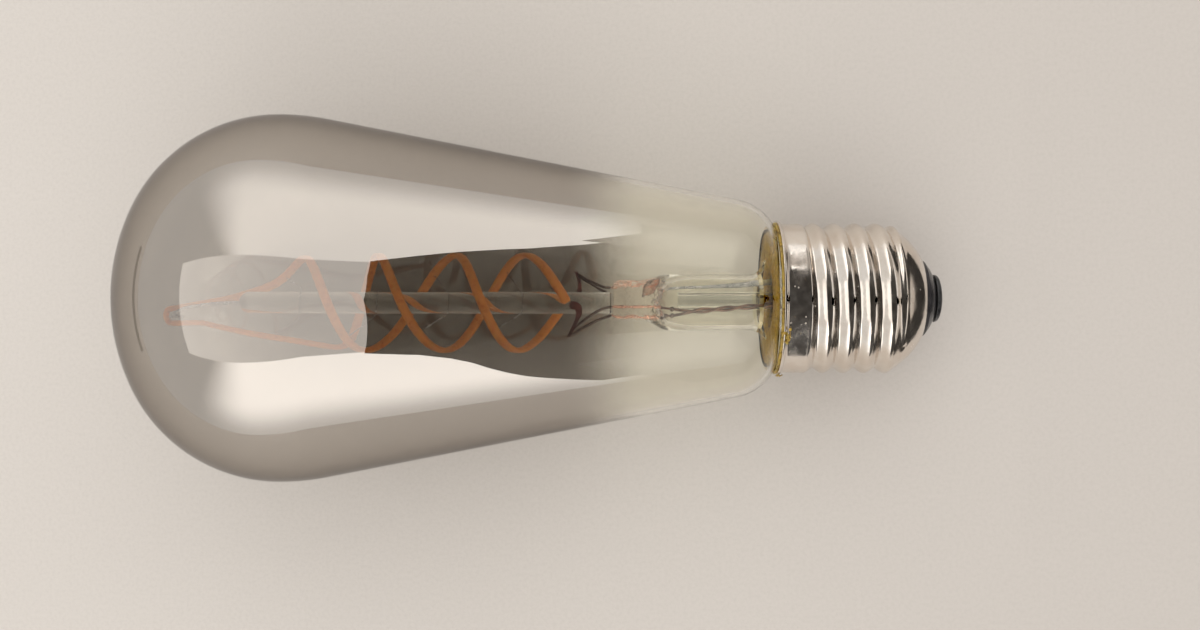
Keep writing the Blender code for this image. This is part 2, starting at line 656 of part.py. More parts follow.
def make_tabs(lamp, maroon):
    _, width, height = TAB_SIZE
    drop = height / 2 + TAB_GAP
    reach = FILAMENT_RADIUS - STRAND_END_INSET
    front = Vector((reach, POST_Y - TAB_DRIFT, STRAND_A_QUARTERS[0] - drop))
    back = Vector((-reach, POST_Y + TAB_DRIFT, STRAND_B_QUARTERS[0] - drop))
    block("end_tab_front", TAB_SIZE, front, maroon, lamp, 0.2)
    block("end_tab_rear", TAB_SIZE, back, maroon, lamp, 0.2)
    off = Vector((-0.2, -width / 2 - CLEARANCE, -0.4))
    bent_wire("tab_link_front", [front + off, *TAB_LINK_FRONT], TAB_LINK_WIRE, maroon, lamp)
    off = Vector((0.2, width / 2 + CLEARANCE, -0.4))
    bent_wire("tab_link_rear", [back + off, *TAB_LINK_REAR], TAB_LINK_WIRE, maroon, lamp)


def make_driver(lamp, board_green, black, sleeve, tan, insulated):
    """The small supply inside the cap: rectifier and chip behind the board, the rest in front."""
    board = Vector(BOARD_CENTRE)
    block("driver_board", BOARD_SIZE, board, board_green, lamp, 0.1)
    face = BOARD_SIZE[0] / 2 + CLEARANCE
    behind = (
        ("driver_chip", CHIP_SIZE, CHIP_PLACE),
        ("bridge_rectifier", RECTIFIER_SIZE, RECTIFIER_PLACE),
    )
    for name, size, place in behind:
        block(name, size, board + Vector((-face - size[0] / 2, *place)), black, lamp)
    low = board.z - CAPACITOR_LENGTH / 2
    high = board.z + CAPACITOR_LENGTH / 2
    can = [(CAPACITOR_RADIUS - CAPACITOR_EDGE, low), (CAPACITOR_RADIUS, low + CAPACITOR_EDGE)]
    can += [(CAPACITOR_RADIUS - inset, high - depth) for inset, depth in CAPACITOR_GROOVE]
    side = face + CAPACITOR_RADIUS
    turned("smoothing_capacitor", can, 16, sleeve, lamp, centre=(side, CAPACITOR_Y))
    body = (face + RESISTOR_RADIUS + RESISTOR_LIFT, RESISTOR_Y)
    barrel = [(RESISTOR_RADIUS * share, RESISTOR_FOOT_Z + along) for share, along in RESISTOR_END]
    barrel += [
        (RESISTOR_RADIUS * share, RESISTOR_FOOT_Z + RESISTOR_LENGTH - along)
        for share, along in reversed(RESISTOR_END)
    ]
    turned("fusible_resistor", barrel, 12, tan, lamp, centre=body)
    start = (*body, RESISTOR_FOOT_Z - CLEARANCE)
    bent_wire("contact_wire", [start, *CONTACT_FEED_ROUTE], CONTACT_FEED_WIRE, tan, lamp)
    bent_wire("shell_wire", SHELL_FEED_ROUTE, FEED_WIRE, insulated, lamp)


def lowest(vertices, tilt):
    """Height of the lowest vertex under the lamp's axis origin once the lamp is laid at tilt."""
    return min(v.z * math.sin(tilt) + v.x * math.cos(tilt) for v in vertices)


def lying_tilt(bulb, cap):
    """The tilt of the axis at which the bulb and the cap touch the same level surface."""
    glass = [v.co for v in bulb.data.vertices]
    metal = [v.co for v in cap.data.vertices]
    flat, steep = math.radians(4.0), math.radians(18.0)
    for _ in range(50):
        tilt = (flat + steep) / 2
        if lowest(glass, tilt) < lowest(metal, tilt):
            flat = tilt
        else:
            steep = tilt
    return tilt


def lay_down(lamp, bulb, cap):
    """Turns the upright lamp onto its side and centres its box over the origin."""
    tilt = lying_tilt(bulb, cap)
    turn = Matrix.Rotation(-(math.pi / 2 - tilt), 4, "Y")
    placed = [turn @ v.co for item in (bulb, cap) for v in item.data.vertices]
    placed.append(turn @ Vector((CONTACT_FLAT * MM, 0.0, 0.0)))
    middle = [(min(p[i] for p in placed) + max(p[i] for p in placed)) / 2 for i in range(2)]
    floor = min(p.z for p in placed)
    lamp.matrix_world = Matrix.Translation((-middle[0], -middle[1], -floor)) @ turn


def build():
    clear_scene()
    lamp = bpy.data.objects.new("lamp", None)
    bpy.context.scene.collection.objects.link(lamp)

    smoked = material("smoked glass", (0.42, 0.38, 0.34), 0.04, 0.3, 0.7)
    clear = material("clear glass", (0.93, 0.94, 0.88), 0.03, 0.0, 1.0)
    nickel = material("nickel plate", (0.72, 0.67, 0.61), 0.16, 1.0)
    black = material("black insulator", (0.015, 0.015, 0.017), 0.32)
    contact = material("tarnished contact", (0.05, 0.05, 0.055), 0.35, 0.6)
    amber = material("amber cement", (0.42, 0.30, 0.05), 0.6)
    orange = material("phosphor silicone", (0.80, 0.30, 0.06), 0.5)
    dark = material("oxidised nickel wire", (0.09, 0.06, 0.05), 0.4, 0.8)
    copper = material("sheathed seal wire", (0.75, 0.42, 0.30), 0.3, 0.9)
    grey = material("tinned wire", (0.42, 0.41, 0.42), 0.3, 1.0)
    brown = material("brown copper wire", (0.20, 0.10, 0.06), 0.4, 0.8)
    maroon = material("heat-stained tab", (0.16, 0.04, 0.03), 0.4, 0.7)
    green = material("circuit board", (0.05, 0.20, 0.09), 0.5)
    sleeve = material("capacitor sleeve", (0.03, 0.04, 0.08), 0.4)
    tan = material("resistor lacquer", (0.55, 0.42, 0.28), 0.5)
    white = material("wire insulation", (0.75, 0.74, 0.70), 0.6)

    bulb = make_bulb(lamp, smoked)
    cap = make_cap_shell(lamp, nickel)
    make_contact_end(lamp, black, contact)
    make_cement(lamp, amber)
    make_stem(lamp, clear)
    make_exhaust_tube(lamp, clear)
    make_post(lamp, clear, grey)
    make_hook(lamp, grey)
    make_filament(lamp, orange)
    make_tabs(lamp, maroon)
    make_leads(lamp, dark, copper, grey, brown)
    make_driver(lamp, green, black, sleeve, tan, white)
    lay_down(lamp, bulb, cap)


build()
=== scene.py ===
"""Looks of a dead LED filament lamp with a smoke-grey mirror coating, lying on its side.

Fine pieces are drawn in the lamp's own frame, in millimetres: z runs along the axis from the tip
of the centre contact to the crown, +x is the side that ends up on top, and +y stays +y. The
frame's contact mount says where that axis lies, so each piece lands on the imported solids.
"""

import json
import math
import random

import bmesh
import bpy
from mathutils import Matrix, Vector


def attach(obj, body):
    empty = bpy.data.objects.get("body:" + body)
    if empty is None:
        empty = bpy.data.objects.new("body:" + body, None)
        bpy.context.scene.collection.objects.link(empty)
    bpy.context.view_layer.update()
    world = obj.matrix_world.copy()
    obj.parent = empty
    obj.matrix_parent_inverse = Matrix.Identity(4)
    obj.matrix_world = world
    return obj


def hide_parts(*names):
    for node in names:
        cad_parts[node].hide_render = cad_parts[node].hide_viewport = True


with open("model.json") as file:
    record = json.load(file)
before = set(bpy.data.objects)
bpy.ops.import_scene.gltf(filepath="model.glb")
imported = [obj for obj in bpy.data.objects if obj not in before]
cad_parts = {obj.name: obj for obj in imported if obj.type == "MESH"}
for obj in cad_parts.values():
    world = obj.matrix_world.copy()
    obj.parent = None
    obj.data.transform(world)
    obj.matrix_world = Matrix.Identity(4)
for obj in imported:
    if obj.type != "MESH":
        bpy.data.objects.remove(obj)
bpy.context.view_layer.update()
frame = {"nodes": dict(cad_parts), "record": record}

MM = 0.001
SEED = 7
TAU = 2 * math.pi

# Bulb outline, arc by arc from the crown to the mouth
BULB_LENGTH = 143.8
BULB_RADIUS = 32.0
CROWN_ARC = 36.8
SHOULDER_ARC = 27.6
FLANK_ARC = 42.6
CONE_ANGLE = 10.96
NECK_ARC = 8.9
NECK_TURN_END = 64.2
NECK_ARC_Z = 37.36
GLASS_WALL = 0.9
SKIN_INSET = 0.07
GLASS_SEGMENTS = 144
CONE_STEPS = 16

# Smoke coating: full above the first height, gone below the second, its edge uneven by the wander
COATING_FULL_Z = 66.5
COATING_GONE_Z = 51.5
COATING_WANDER = 5.0
COATING_TINT = (0.58, 0.54, 0.50, 1.0)
COATING_EDGE = (0.22, 0.20, 0.19, 1.0)
COATING_MIRROR = 0.5
COATING_SHADE = (0.42, 0.39, 0.36, 1.0)
# From the first lamp x down to the second it turns into a darker and weaker mirror: painted shade on the
# underside, where the real coat is even
COATING_BELOW_X = (6.0, -14.0)
COATING_SHADED_TINT_BELOW = (0.41, 0.38, 0.35, 1.0)
COATING_MIRROR_BELOW = 0.2

# Clear glass
CLEAR_TINT = (0.993, 0.982, 0.924, 1.0)
NECK_SHADE = (0.93, 0.93, 0.90, 1.0)
CLEAR_SHADE = (0.95, 0.95, 0.92, 1.0)
PINCHED_TINT = (0.95, 0.90, 0.84, 1.0)
PINCHED_Z = (47.5, 50.5)
GLASS_IOR = 1.5
STEM_IOR = 1.28
FLARE_IOR = 1.02

# Screw cap
THREAD_PITCH = 3.629
THREAD_CREST = 13.2
THREAD_ROOT = 12.25
THREAD_SHARPNESS = 0.7
THREAD_TOP_CREST = 22.6
THREAD_FADE_TOP = (23.8, 25.0)
THREAD_FADE_NOSE = (7.6, 9.48)
NOSE_FIRST_Z = 7.5
THREAD_ROWS_PER_TURN = 22
SKIRT_STEP = 0.4
SKIRT_FIRST_STEP = 0.3
RIM_Z = 29.1
RIM_RADIUS = 13.7
RIM_LIP = 0.12
RIM_FLARE = 0.6
RIM_FLARE_Z = 28.0
SKIRT_RADIUS = 13.1
NOSE_ARC = 12.36
NOSE_ARC_CENTRE = (1.57, 14.7)
NOSE_OPENING_RADIUS = 7.2
CAP_WALL = 0.35
SHELL_INSET = 0.03
CAP_SEGMENTS = 192
NOSE_LIFT = 0.3
NOSE_LIFT_Z = (8.0, 4.0)
NOSE_THINNING = 0.4
RANDOM_NICKS = 26
NICK_Z = (6.5, 28.0)
NICK_SIZE = (0.2, 0.5)
NICK_DEPTH = (0.02, 0.06)
# Nicks seen in the photo, as (z, angle, size, depth)
SEEN_NICKS = ((3.9, -0.32, 0.35, 0.12), (8.2, -0.78, 0.4, 0.12), (12.0, -0.5, 0.3, 0.08))

# Contact end
CONTACT_RADIUS = 4.16
CONTACT_FLAT = 1.7
INSULATOR_FOOT_Z = 1.25
INSULATOR_TOP_Z = 7.0
SHANK_RADIUS = 1.1
SEAT_ANGLES = (147.0, 131.0)
SEAT_SPARE = 0.1
CLEARANCE = 0.3

# Stem and post
STEM_Y = -0.75
STEM_RADIUS = 4.9
STEM_WALL = 0.8
FLARE_RADIUS = 11.75
FLARE_Z = 30.2
FLARE_ARC = 3.0
PRESS_Y = -0.3
PRESS_TOP_Z = 57.5
STEM_SEGMENTS = 72
EXHAUST_CENTRE = (-0.6, -0.5)
EXHAUST_RADIUS = 1.6
EXHAUST_BORE = 1.0
EXHAUST_ENDS = (21.8, 46.5)
POST_Y = -0.8
POST_RADIUS = 1.9
POST_ENDS = (57.9, 122.8)
HOOK_WIRE = 0.3
HOOK_Y = -3.1
HOOK_Z = 134.3

# Filament: two strands of a double helix, folded over the hook
FILAMENT_WIDTH = 1.7
FILAMENT_THICKNESS = 1.1
FILAMENT_RADIUS = 8.3
FILAMENT_STEP = 0.55
FILAMENT_SIDES = 20
FILAMENT_SQUARENESS = 2.5
FILAMENT_TURN_OVER_Z = (118.0, 130.0)
FILAMENT_END_INSET = 0.6
HOOK_SPARE = 0.15
STRAND_SAMPLES = 30
# The strip swells a little over each of its chips, and a little at random
SWELL = 0.96
CHIP_SWELL = 0.03
CHIP_ROWS = 3.1
LOOSE_SWELL = 0.012
STRAND_A_QUARTERS = (65.6, 72.95, 80.0, 86.9, 93.8, 98.6, 102.4, 106.6)
STRAND_A_TOP = ((650, 5.8, 120.0), (655, 3.9, 129.0))
STRAND_B_QUARTERS = (65.95, 74.0, 80.15, 85.2, 92.9, 100.7, 106.3, 111.7)
STRAND_B_TOP = ((858, 5.4, 116.9), (885, 3.4, 124.5))

# Camera over the lamp, as the photograph was taken
CAMERA_PLACE = (0.0573208, -0.00293, 0.300)
CAMERA_TILT = 9.26
CAMERA_LENS = 48.18


def lamp_matrix():
    """The lamp's own frame in the row frame, read from the centre contact's mount."""
    mount = next(m for m in frame["record"]["mounts"] if m["name"] == "centre_contact")
    tipward = Vector(mount["axis"]).normalized()
    side = Vector((0.0, 1.0, 0.0))
    top = side.cross(-tipward)
    turn = Matrix((top, side, -tipward)).transposed().to_4x4()
    return Matrix.Translation(mount["pos_m"]) @ turn


LAMP = lamp_matrix()
rng = random.Random(SEED)


# Node helpers


class Nodes:
    """Shorthand for node trees: each call adds a node, and an input is a value or a socket."""

    def __init__(self, tree):
        self.tree = tree
        tree.nodes.clear()

    def add(self, kind, **settings):
        node = self.tree.nodes.new(kind)
        for key, value in settings.items():
            setattr(node, key, value)
        return node

    def feed(self, socket, value):
        if isinstance(value, bpy.types.NodeSocket):
            self.tree.links.new(value, socket)
        else:
            socket.default_value = value

    def math(self, operation, *values, clamp=False):
        node = self.add("ShaderNodeMath", operation=operation, use_clamp=clamp)
        for socket, value in zip(node.inputs, values):
            self.feed(socket, value)
        return node.outputs[0]

    def step(self, value, start, end, low=0.0, high=1.0):
        """Low up to start, high from end on, smooth between."""
        node = self.add("ShaderNodeMapRange", interpolation_type="SMOOTHSTEP")
        for name, given in (("Value", value), ("From Min", start), ("From Max", end)):
            self.feed(node.inputs[name], given)
        node.inputs["To Min"].default_value = low
        node.inputs["To Max"].default_value = high
        return node.outputs["Result"]

    def mix(self, factor, first, second):
        node = self.add("ShaderNodeMix", data_type="RGBA")
        self.feed(node.inputs[0], factor)
        self.feed(node.inputs[6], first)
        self.feed(node.inputs[7], second)
        return node.outputs[2]

    def place(self):
        return self.add("ShaderNodeTexCoord").outputs["Object"]

    def along_lamp(self, column=2):
        """The lamp's own z (or x, for column 0) at a place, in metres."""
        direction = LAMP.col[column].to_3d()
        node = self.add("ShaderNodeVectorMath", operation="DOT_PRODUCT")
        self.feed(node.inputs[0], self.place())
        node.inputs[1].default_value = direction
        return self.math("SUBTRACT", node.outputs["Value"], direction.dot(LAMP.translation))

    def noise(self, scale, detail=4.0, roughness=0.5, where=None):
        node = self.add("ShaderNodeTexNoise")
        self.feed(node.inputs["Vector"], where or self.place())
        node.inputs["Scale"].default_value = scale
        node.inputs["Detail"].default_value = detail
        node.inputs["Roughness"].default_value = roughness
        return node.outputs[0]

    def cells(self, scale, where):
        """Distance to the nearest of a cloud of points, for grains and specks."""
        node = self.add("ShaderNodeTexVoronoi")
        self.feed(node.inputs["Vector"], where)
        node.inputs["Scale"].default_value = scale
        return node.outputs["Distance"]

    def bump(self, height, strength, distance):
        node = self.add("ShaderNodeBump")
        node.inputs["Strength"].default_value = strength
        node.inputs["Distance"].default_value = distance
        self.feed(node.inputs["Height"], height)
        return node.outputs[0]

    def principled(self, **inputs):
        node = self.add("ShaderNodeBsdfPrincipled")
        for key, value in inputs.items():
            self.feed(node.inputs[key.replace("_", " ")], value)
        return node.outputs[0]

    def output(self, shader):
        end = self.add("ShaderNodeOutputMaterial")
        self.tree.links.new(shader, end.inputs["Surface"])

    def glass_output(self, shader, shade):
        """The glass, but light passes it to what is behind, tinted by shade."""
        ray = self.add("ShaderNodeLightPath")
        clear = self.add("ShaderNodeBsdfTransparent")
        self.feed(clear.inputs["Color"], shade)
        both = self.add("ShaderNodeMixShader")
        self.feed(both.inputs[0], ray.outputs["Is Shadow Ray"])
        self.tree.links.new(shader, both.inputs[1])
        self.tree.links.new(clear.outputs[0], both.inputs[2])
        self.output(both.outputs[0])


def new_material(name):
    made = bpy.data.materials.new(name)
    made.use_nodes = True
    return made, Nodes(made.node_tree)


# Materials
NICKEL_DULL = (0.74, 0.66, 0.58, 1.0)
NICKEL_BRIGHT = (0.83, 0.77, 0.70, 1.0)
DUST = (0.42, 0.36, 0.29, 1.0)
CEMENT_DARK = (0.11, 0.058, 0.005, 1.0)
CEMENT_LIGHT = (0.34, 0.205, 0.018, 1.0)
CEMENT_GRAIN = (0.52, 0.36, 0.07, 1.0)
SILICONE_DARK = (0.42, 0.120, 0.015, 1.0)
SILICONE_LIGHT = (0.70, 0.230, 0.036, 1.0)
SILICONE_BEAD = (0.82, 0.37, 0.085, 1.0)


def smoked_glass():
    """Clear glass under a thin metal smoke that thins out, a little unevenly, before the neck."""
    made, n = new_material("smoked_glass")
    uneven = n.math("MULTIPLY_ADD", n.noise(90.0, 2.0), COATING_WANDER * MM, n.along_lamp())
    gone, full = (z + COATING_WANDER / 2 for z in (COATING_GONE_Z, COATING_FULL_Z))
    coat = n.step(uneven, gone * MM, full * MM)
    # painted shade: the coat's underside is darker and a weaker mirror than the even coat it really is
    lower = n.step(n.along_lamp(0), *(x * MM for x in COATING_BELOW_X))
    tint = n.mix(coat, CLEAR_TINT, n.mix(lower, COATING_TINT, COATING_SHADED_TINT_BELOW))
    mirror = n.math("MULTIPLY", coat, n.step(lower, 0.0, 1.0, COATING_MIRROR, COATING_MIRROR_BELOW))
    waves = n.bump(n.noise(22.0, 1.0), 0.05, 0.004)
    smear = n.step(n.noise(160.0, 5.0, 0.65), 0.55, 0.8, 0.004, 0.03)
    shader = n.principled(
        Base_Color=tint, Metallic=mirror, Roughness=smear, IOR=GLASS_IOR,
        Transmission_Weight=1.0, Specular_Tint=COATING_EDGE, Normal=waves,
    )
    n.glass_output(shader, n.mix(coat, NECK_SHADE, COATING_SHADE))
    return made


def clear_glass(name="clear_glass", tint=CLEAR_TINT, waviness=0.04, ior=GLASS_IOR):
    made, n = new_material(name)
    cloud = n.mix(n.noise(60.0), tint, tuple(0.985 * c for c in tint[:3]) + (1.0,))
    waves = n.bump(n.noise(70.0, 2.0), waviness, 0.002)
    shader = n.principled(
        Base_Color=cloud, Roughness=0.0, IOR=ior, Transmission_Weight=1.0, Normal=waves,
    )
    n.glass_output(shader, CLEAR_SHADE)
    return made


def stem_glass():
    """Stem tubing, clear along the tube and puckered where it was pinched round the wires."""
    made, n = new_material("stem_glass")
    pinched = n.step(n.along_lamp(), *(z * MM for z in PINCHED_Z))
    folds = n.math("MULTIPLY", n.noise(420.0, 3.0, 0.6), pinched)
    waves = n.bump(folds, 0.9, 0.0014)
    tint = n.mix(pinched, CLEAR_TINT, PINCHED_TINT)
    shader = n.principled(
        Base_Color=tint, Roughness=0.0, IOR=STEM_IOR, Transmission_Weight=1.0, Normal=waves,
    )
    n.glass_output(shader, CLEAR_SHADE)
    return made


def nickel_plate():
    """Champagne nickel, clouded and unevenly rubbed, with specks of dust."""
    made, n = new_material("nickel_plate")
    where = n.place()
    cloud = n.noise(180.0, 5.0, 0.6, where)
    base = n.mix(n.step(cloud, 0.35, 0.7), NICKEL_DULL, NICKEL_BRIGHT)
    specks = n.math("MULTIPLY", n.step(n.cells(900.0, where), 0.16, 0.10),
                    n.step(n.noise(300.0, 2.0, 0.5, where), 0.57, 0.68))
    dusty = n.mix(specks, base, DUST)
    rub = n.step(n.noise(420.0, 6.0, 0.7, where), 0.3, 0.75, 0.09, 0.24)
    rough = n.math("MULTIPLY_ADD", specks, 0.35, rub)
    metal = n.math("MULTIPLY_ADD", specks, -0.7, 1.0)
    uneven = n.bump(n.noise(240.0, 3.0, 0.55, where), 0.10, 0.0006)
    n.output(n.principled(Base_Color=dusty, Metallic=metal, Roughness=rough, Normal=uneven))
    return made


def speckled(name, dark, light, roughness, metallic=0.0, scale=400.0):
    """A plain finish with its own small colour changes, worn gloss and fine relief."""
    made, n = new_material(name)
    where = n.place()
    cloud = n.noise(scale, 5.0, 0.6, where)
    colour = n.mix(n.step(cloud, 0.35, 0.68), (*dark, 1.0), (*light, 1.0))
    gloss = n.step(n.noise(scale * 1.7, 4.0, 0.6, where), 0.3, 0.7, roughness * 0.8, roughness * 1.25)
    relief = n.bump(cloud, 0.2, 0.0002)
    n.output(n.principled(Base_Color=colour, Metallic=metallic, Roughness=gloss, Normal=relief))
    return made


def amber_cement():
    """Gritty lamp cement gone golden brown."""
    made, n = new_material("amber_cement")
    where = n.place()
    cloud = n.noise(1000.0, 6.0, 0.75, where)
    colour = n.mix(n.step(cloud, 0.42, 0.58), CEMENT_DARK, CEMENT_LIGHT)
    grains = n.step(n.cells(1500.0, where), 0.1, 0.5)
    colour = n.mix(n.math("MULTIPLY", grains, 0.5), colour, CEMENT_GRAIN)
    relief = n.bump(n.math("ADD", cloud, grains), 0.7, 0.0005)
    n.output(n.principled(Base_Color=colour, Roughness=0.34, Subsurface_Weight=0.1,
                          Subsurface_Scale=0.001, Normal=relief))
    return made


def phosphor_silicone():
    """Orange silicone, mottled by the phosphor in it."""
    made, n = new_material("phosphor_silicone")
    where = n.place()
    cloud = n.noise(300.0, 4.0, 0.6, where)
    colour = n.mix(cloud, SILICONE_DARK, SILICONE_LIGHT)
    beads = n.step(n.cells(1100.0, where), 0.15, 0.55)
    colour = n.mix(n.math("MULTIPLY", beads, 0.35), colour, SILICONE_BEAD)
    relief = n.bump(beads, 0.25, 0.0002)
    n.output(n.principled(Base_Color=colour, Roughness=0.42, Subsurface_Weight=0.25,
                          Subsurface_Scale=0.0015, Normal=relief))
    return made


# Plain finishes, as (dark colour, light colour, roughness, metallic, scale of their clouds)
SPECKLED = {
    "black_insulator": ((0.011, 0.010, 0.011), (0.026, 0.024, 0.025), 0.2),
    # the contact's near-black is a painted dark reflection: its plated metal looks black from mirroring a
    # dark room
    "contact_metal": ((0.03, 0.029, 0.03), (0.10, 0.097, 0.097), 0.3, 0.7),
    "dark_wire": ((0.05, 0.035, 0.03), (0.13, 0.09, 0.075), 0.35, 0.85, 900.0),
    "seal_wire": ((0.36, 0.19, 0.14), (0.62, 0.38, 0.29), 0.3, 0.85, 900.0),
    "bright_wire": ((0.32, 0.31, 0.31), (0.55, 0.54, 0.53), 0.25, 1.0, 900.0),
    "brown_wire": ((0.055, 0.028, 0.02), (0.15, 0.08, 0.055), 0.35, 0.75, 900.0),
    "foil_metal": ((0.13, 0.13, 0.14), (0.30, 0.29, 0.30), 0.3, 0.85, 700.0),
    "heat_stained_tab": ((0.045, 0.012, 0.01), (0.13, 0.035, 0.025), 0.35, 0.6),
    "board_green": ((0.03, 0.14, 0.06), (0.06, 0.22, 0.10), 0.45),
    "chip_black": ((0.012, 0.012, 0.013), (0.03, 0.03, 0.03), 0.5),
    "capacitor_sleeve": ((0.02, 0.03, 0.06), (0.04, 0.05, 0.10), 0.35),
    "resistor_lacquer": ((0.45, 0.33, 0.20), (0.60, 0.47, 0.32), 0.45),
    "wire_insulation": ((0.66, 0.65, 0.60), (0.78, 0.77, 0.73), 0.55),
}
FINISH = {name: speckled(name, *look) for name, look in SPECKLED.items()}
FINISH["smoked_glass"] = smoked_glass()
FINISH["clear_glass"] = clear_glass()
FINISH["nickel_plate"] = nickel_plate()
FINISH["amber_cement"] = amber_cement()
FINISH["phosphor_silicone"] = phosphor_silicone()
INNER_GLASS = clear_glass("inner_glass", waviness=0.02)
STEM_GLASS = stem_glass()
FLARE_GLASS = clear_glass("flare_glass", (0.92, 0.82, 0.52, 1.0), 0.02, FLARE_IOR)
BURNT_GLASS = clear_glass("burnt_glass", (0.66, 0.47, 0.38, 1.0), 0.6)


# Mesh helpers
WIRE_STEP = 0.25
WIRE_SIDES = 12
WIRE_END = 0.55
WIRE_FACING = Vector((0.31, 0.22, 0.92))


def new_object(name, bm, finishes):
    mesh = bpy.data.meshes.new(name)
    bm.to_mesh(mesh)
    bm.free()
    for finish in finishes:
        mesh.materials.append(finish)
    made = bpy.data.objects.new(name, mesh)
    bpy.context.scene.collection.objects.link(made)
    return made


def add_piece(name, bm, slot, nodes=(), finishes=(), sharp_angle=None):
    """The bmesh, drawn in the lamp's frame in millimetres, as a piece that rides on the lamp."""
    bmesh.ops.transform(bm, matrix=LAMP @ Matrix.Scale(MM, 4), verts=bm.verts)
    piece = new_object(name, bm, finishes or (FINISH[slot],))
    piece.data.shade_smooth()
    if sharp_angle:
        piece.data.set_sharp_from_angle(angle=math.radians(sharp_angle))
    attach(piece, "root")
    if nodes:
        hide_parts(*nodes)
    return piece


def arc(centre_r, centre_z, radius, start, end, steps):
    """Points (r, z) on an arc, its angles in degrees from the +z axis towards +r."""
    angles = [math.radians(start + (end - start) * i / steps) for i in range(steps + 1)]
    return [(centre_r + radius * math.sin(a), centre_z + radius * math.cos(a)) for a in angles]


def ring(bm, segments, point_at):
    return [bm.verts.new(point_at(TAU * i / segments)) for i in range(segments)]


def squared(a, squareness):
    """A point on a unit circle (squareness 2) or on a rounded square (3 or more)."""
    c, s = math.cos(a), math.sin(a)
    reach = (abs(c) ** squareness + abs(s) ** squareness) ** (-1 / squareness)
    return c * reach, s * reach


def round_ring(bm, segments, radius, z, centre=(0.0, 0.0)):
    x, y = centre
    return ring(bm, segments, lambda a: (x + radius * math.cos(a), y + radius * math.sin(a), z))


def skin(bm, rows, closed=False, slots=None):
    """Faces from each row to the next; a row of one vertex is a pole. Slots give each band's
    material, and open ends are capped where the piece isn't closed."""
    pairs = list(zip(rows, rows[1:]))
    if closed:
        pairs.append((rows[-1], rows[0]))
    for band, (first, second) in enumerate(pairs):
        count = max(len(first), len(second))
        for i in range(count):
            j = (i + 1) % count
            if len(first) == 1:
                corners = (first[0], second[j], second[i])
            elif len(second) == 1:
                corners = (first[i], first[j], second[0])
            else:
                corners = (first[i], first[j], second[j], second[i])
            face = bm.faces.new(corners)
            if slots:
                face.material_index = slots[band]
    if not closed:
        if len(rows[0]) > 1:
            bm.faces.new(list(reversed(rows[0])))
        if len(rows[-1]) > 1:
            bm.faces.new(rows[-1])
    bmesh.ops.recalc_face_normals(bm, faces=bm.faces)


def turned(name, profile, slot, nodes=(), segments=64, centre=(0.0, 0.0), closed=False, sharp_angle=40):
    """A turned piece; a profile point on the axis makes a pole."""
    bm = bmesh.new()
    rows = []
    for r, z in profile:
        if r < 1e-6:
            rows.append([bm.verts.new((centre[0], centre[1], z))])
        else:
            rows.append(round_ring(bm, segments, r, z, centre))
    skin(bm, rows, closed)
    return add_piece(name, bm, slot, nodes, sharp_angle=sharp_angle)


def rounded(points, radius=0.12, steps=3):
    """A profile with each inner corner turned into a small curve."""
    made = [points[0]]
    for before, corner, after in zip(points, points[1:], points[2:]):
        c = Vector(corner)
        back = Vector(before) - c
        ahead = Vector(after) - c
        reach = min(radius, back.length * 0.4, ahead.length * 0.4)
        start = c + back.normalized() * reach
        end = c + ahead.normalized() * reach
        for i in range(steps + 1):
            t = i / steps
            made.append(tuple(start.lerp(c, t).lerp(c.lerp(end, t), t)))
    made.append(points[-1])
    return made


def spline_point(before, start, end, after, t):
    """The Catmull-Rom curve from start to end, at share t; for numbers and vectors alike."""
    return 0.5 * (2 * start + (end - before) * t
                  + (2 * before - 5 * start + 4 * end - after) * t * t
                  + (3 * start - before - 3 * end + after) * t * t * t)


def smooth_path(points, step, fineness=16):
    """A Catmull-Rom curve through the points, read at even steps along its length."""
    points = [Vector(p) for p in points]
    ends = [points[0] * 2 - points[1], *points, points[-1] * 2 - points[-2]]
    dense = []
    for four in zip(ends, ends[1:], ends[2:], ends[3:]):
        dense += [spline_point(*four, i / fineness) for i in range(fineness)]
    dense.append(points[-1].copy())
    lengths = [0.0]
    for a, b in zip(dense, dense[1:]):
        lengths.append(lengths[-1] + (b - a).length)
    count = max(2, round(lengths[-1] / step))
    evened = []
    k = 0
    for i in range(count + 1):
        want = lengths[-1] * i / count
        while k < len(lengths) - 2 and lengths[k + 1] < want:
            k += 1
        share = (want - lengths[k]) / (lengths[k + 1] - lengths[k])
        evened.append(dense[k].lerp(dense[k + 1], min(max(share, 0.0), 1.0)))
    return evened


def sweep(bm, path, section_at, facing):
    """Rows of the section, points (across, out), along the path; facing(i) says which way is out."""
    rows = []
    for i, point in enumerate(path):
        along = (path[min(i + 1, len(path) - 1)] - path[max(i - 1, 0)]).normalized()
        across = along.cross(facing(i)).normalized()
        out = across.cross(along)
        rows.append([bm.verts.new(point + across * u + out * v) for u, v in section_at(i)])
    return rows


def wire(name, points, radius, slot, nodes=(), finishes=()):
    """A round wire with softly rounded ends."""
    path = smooth_path(points, WIRE_STEP)
    bm = bmesh.new()
    angles = [TAU * i / WIRE_SIDES for i in range(WIRE_SIDES)]
    section = [(radius * math.cos(a), radius * math.sin(a)) for a in angles]
    rows = sweep(bm, path, lambda i: section, lambda i: WIRE_FACING)
    for row, point in ((rows[0], path[0]), (rows[-1], path[-1])):
        for vertex in row:
            vertex.co = point.lerp(vertex.co, WIRE_END)
    skin(bm, rows)
    return add_piece(name, bm, slot, nodes, finishes)


def ramp(value, start, end):
    """0 at start, 1 at end, smooth between."""
    t = min(max((value - start) / (end - start), 0.0), 1.0)
    return t * t * (3 - 2 * t)


# Glass envelope


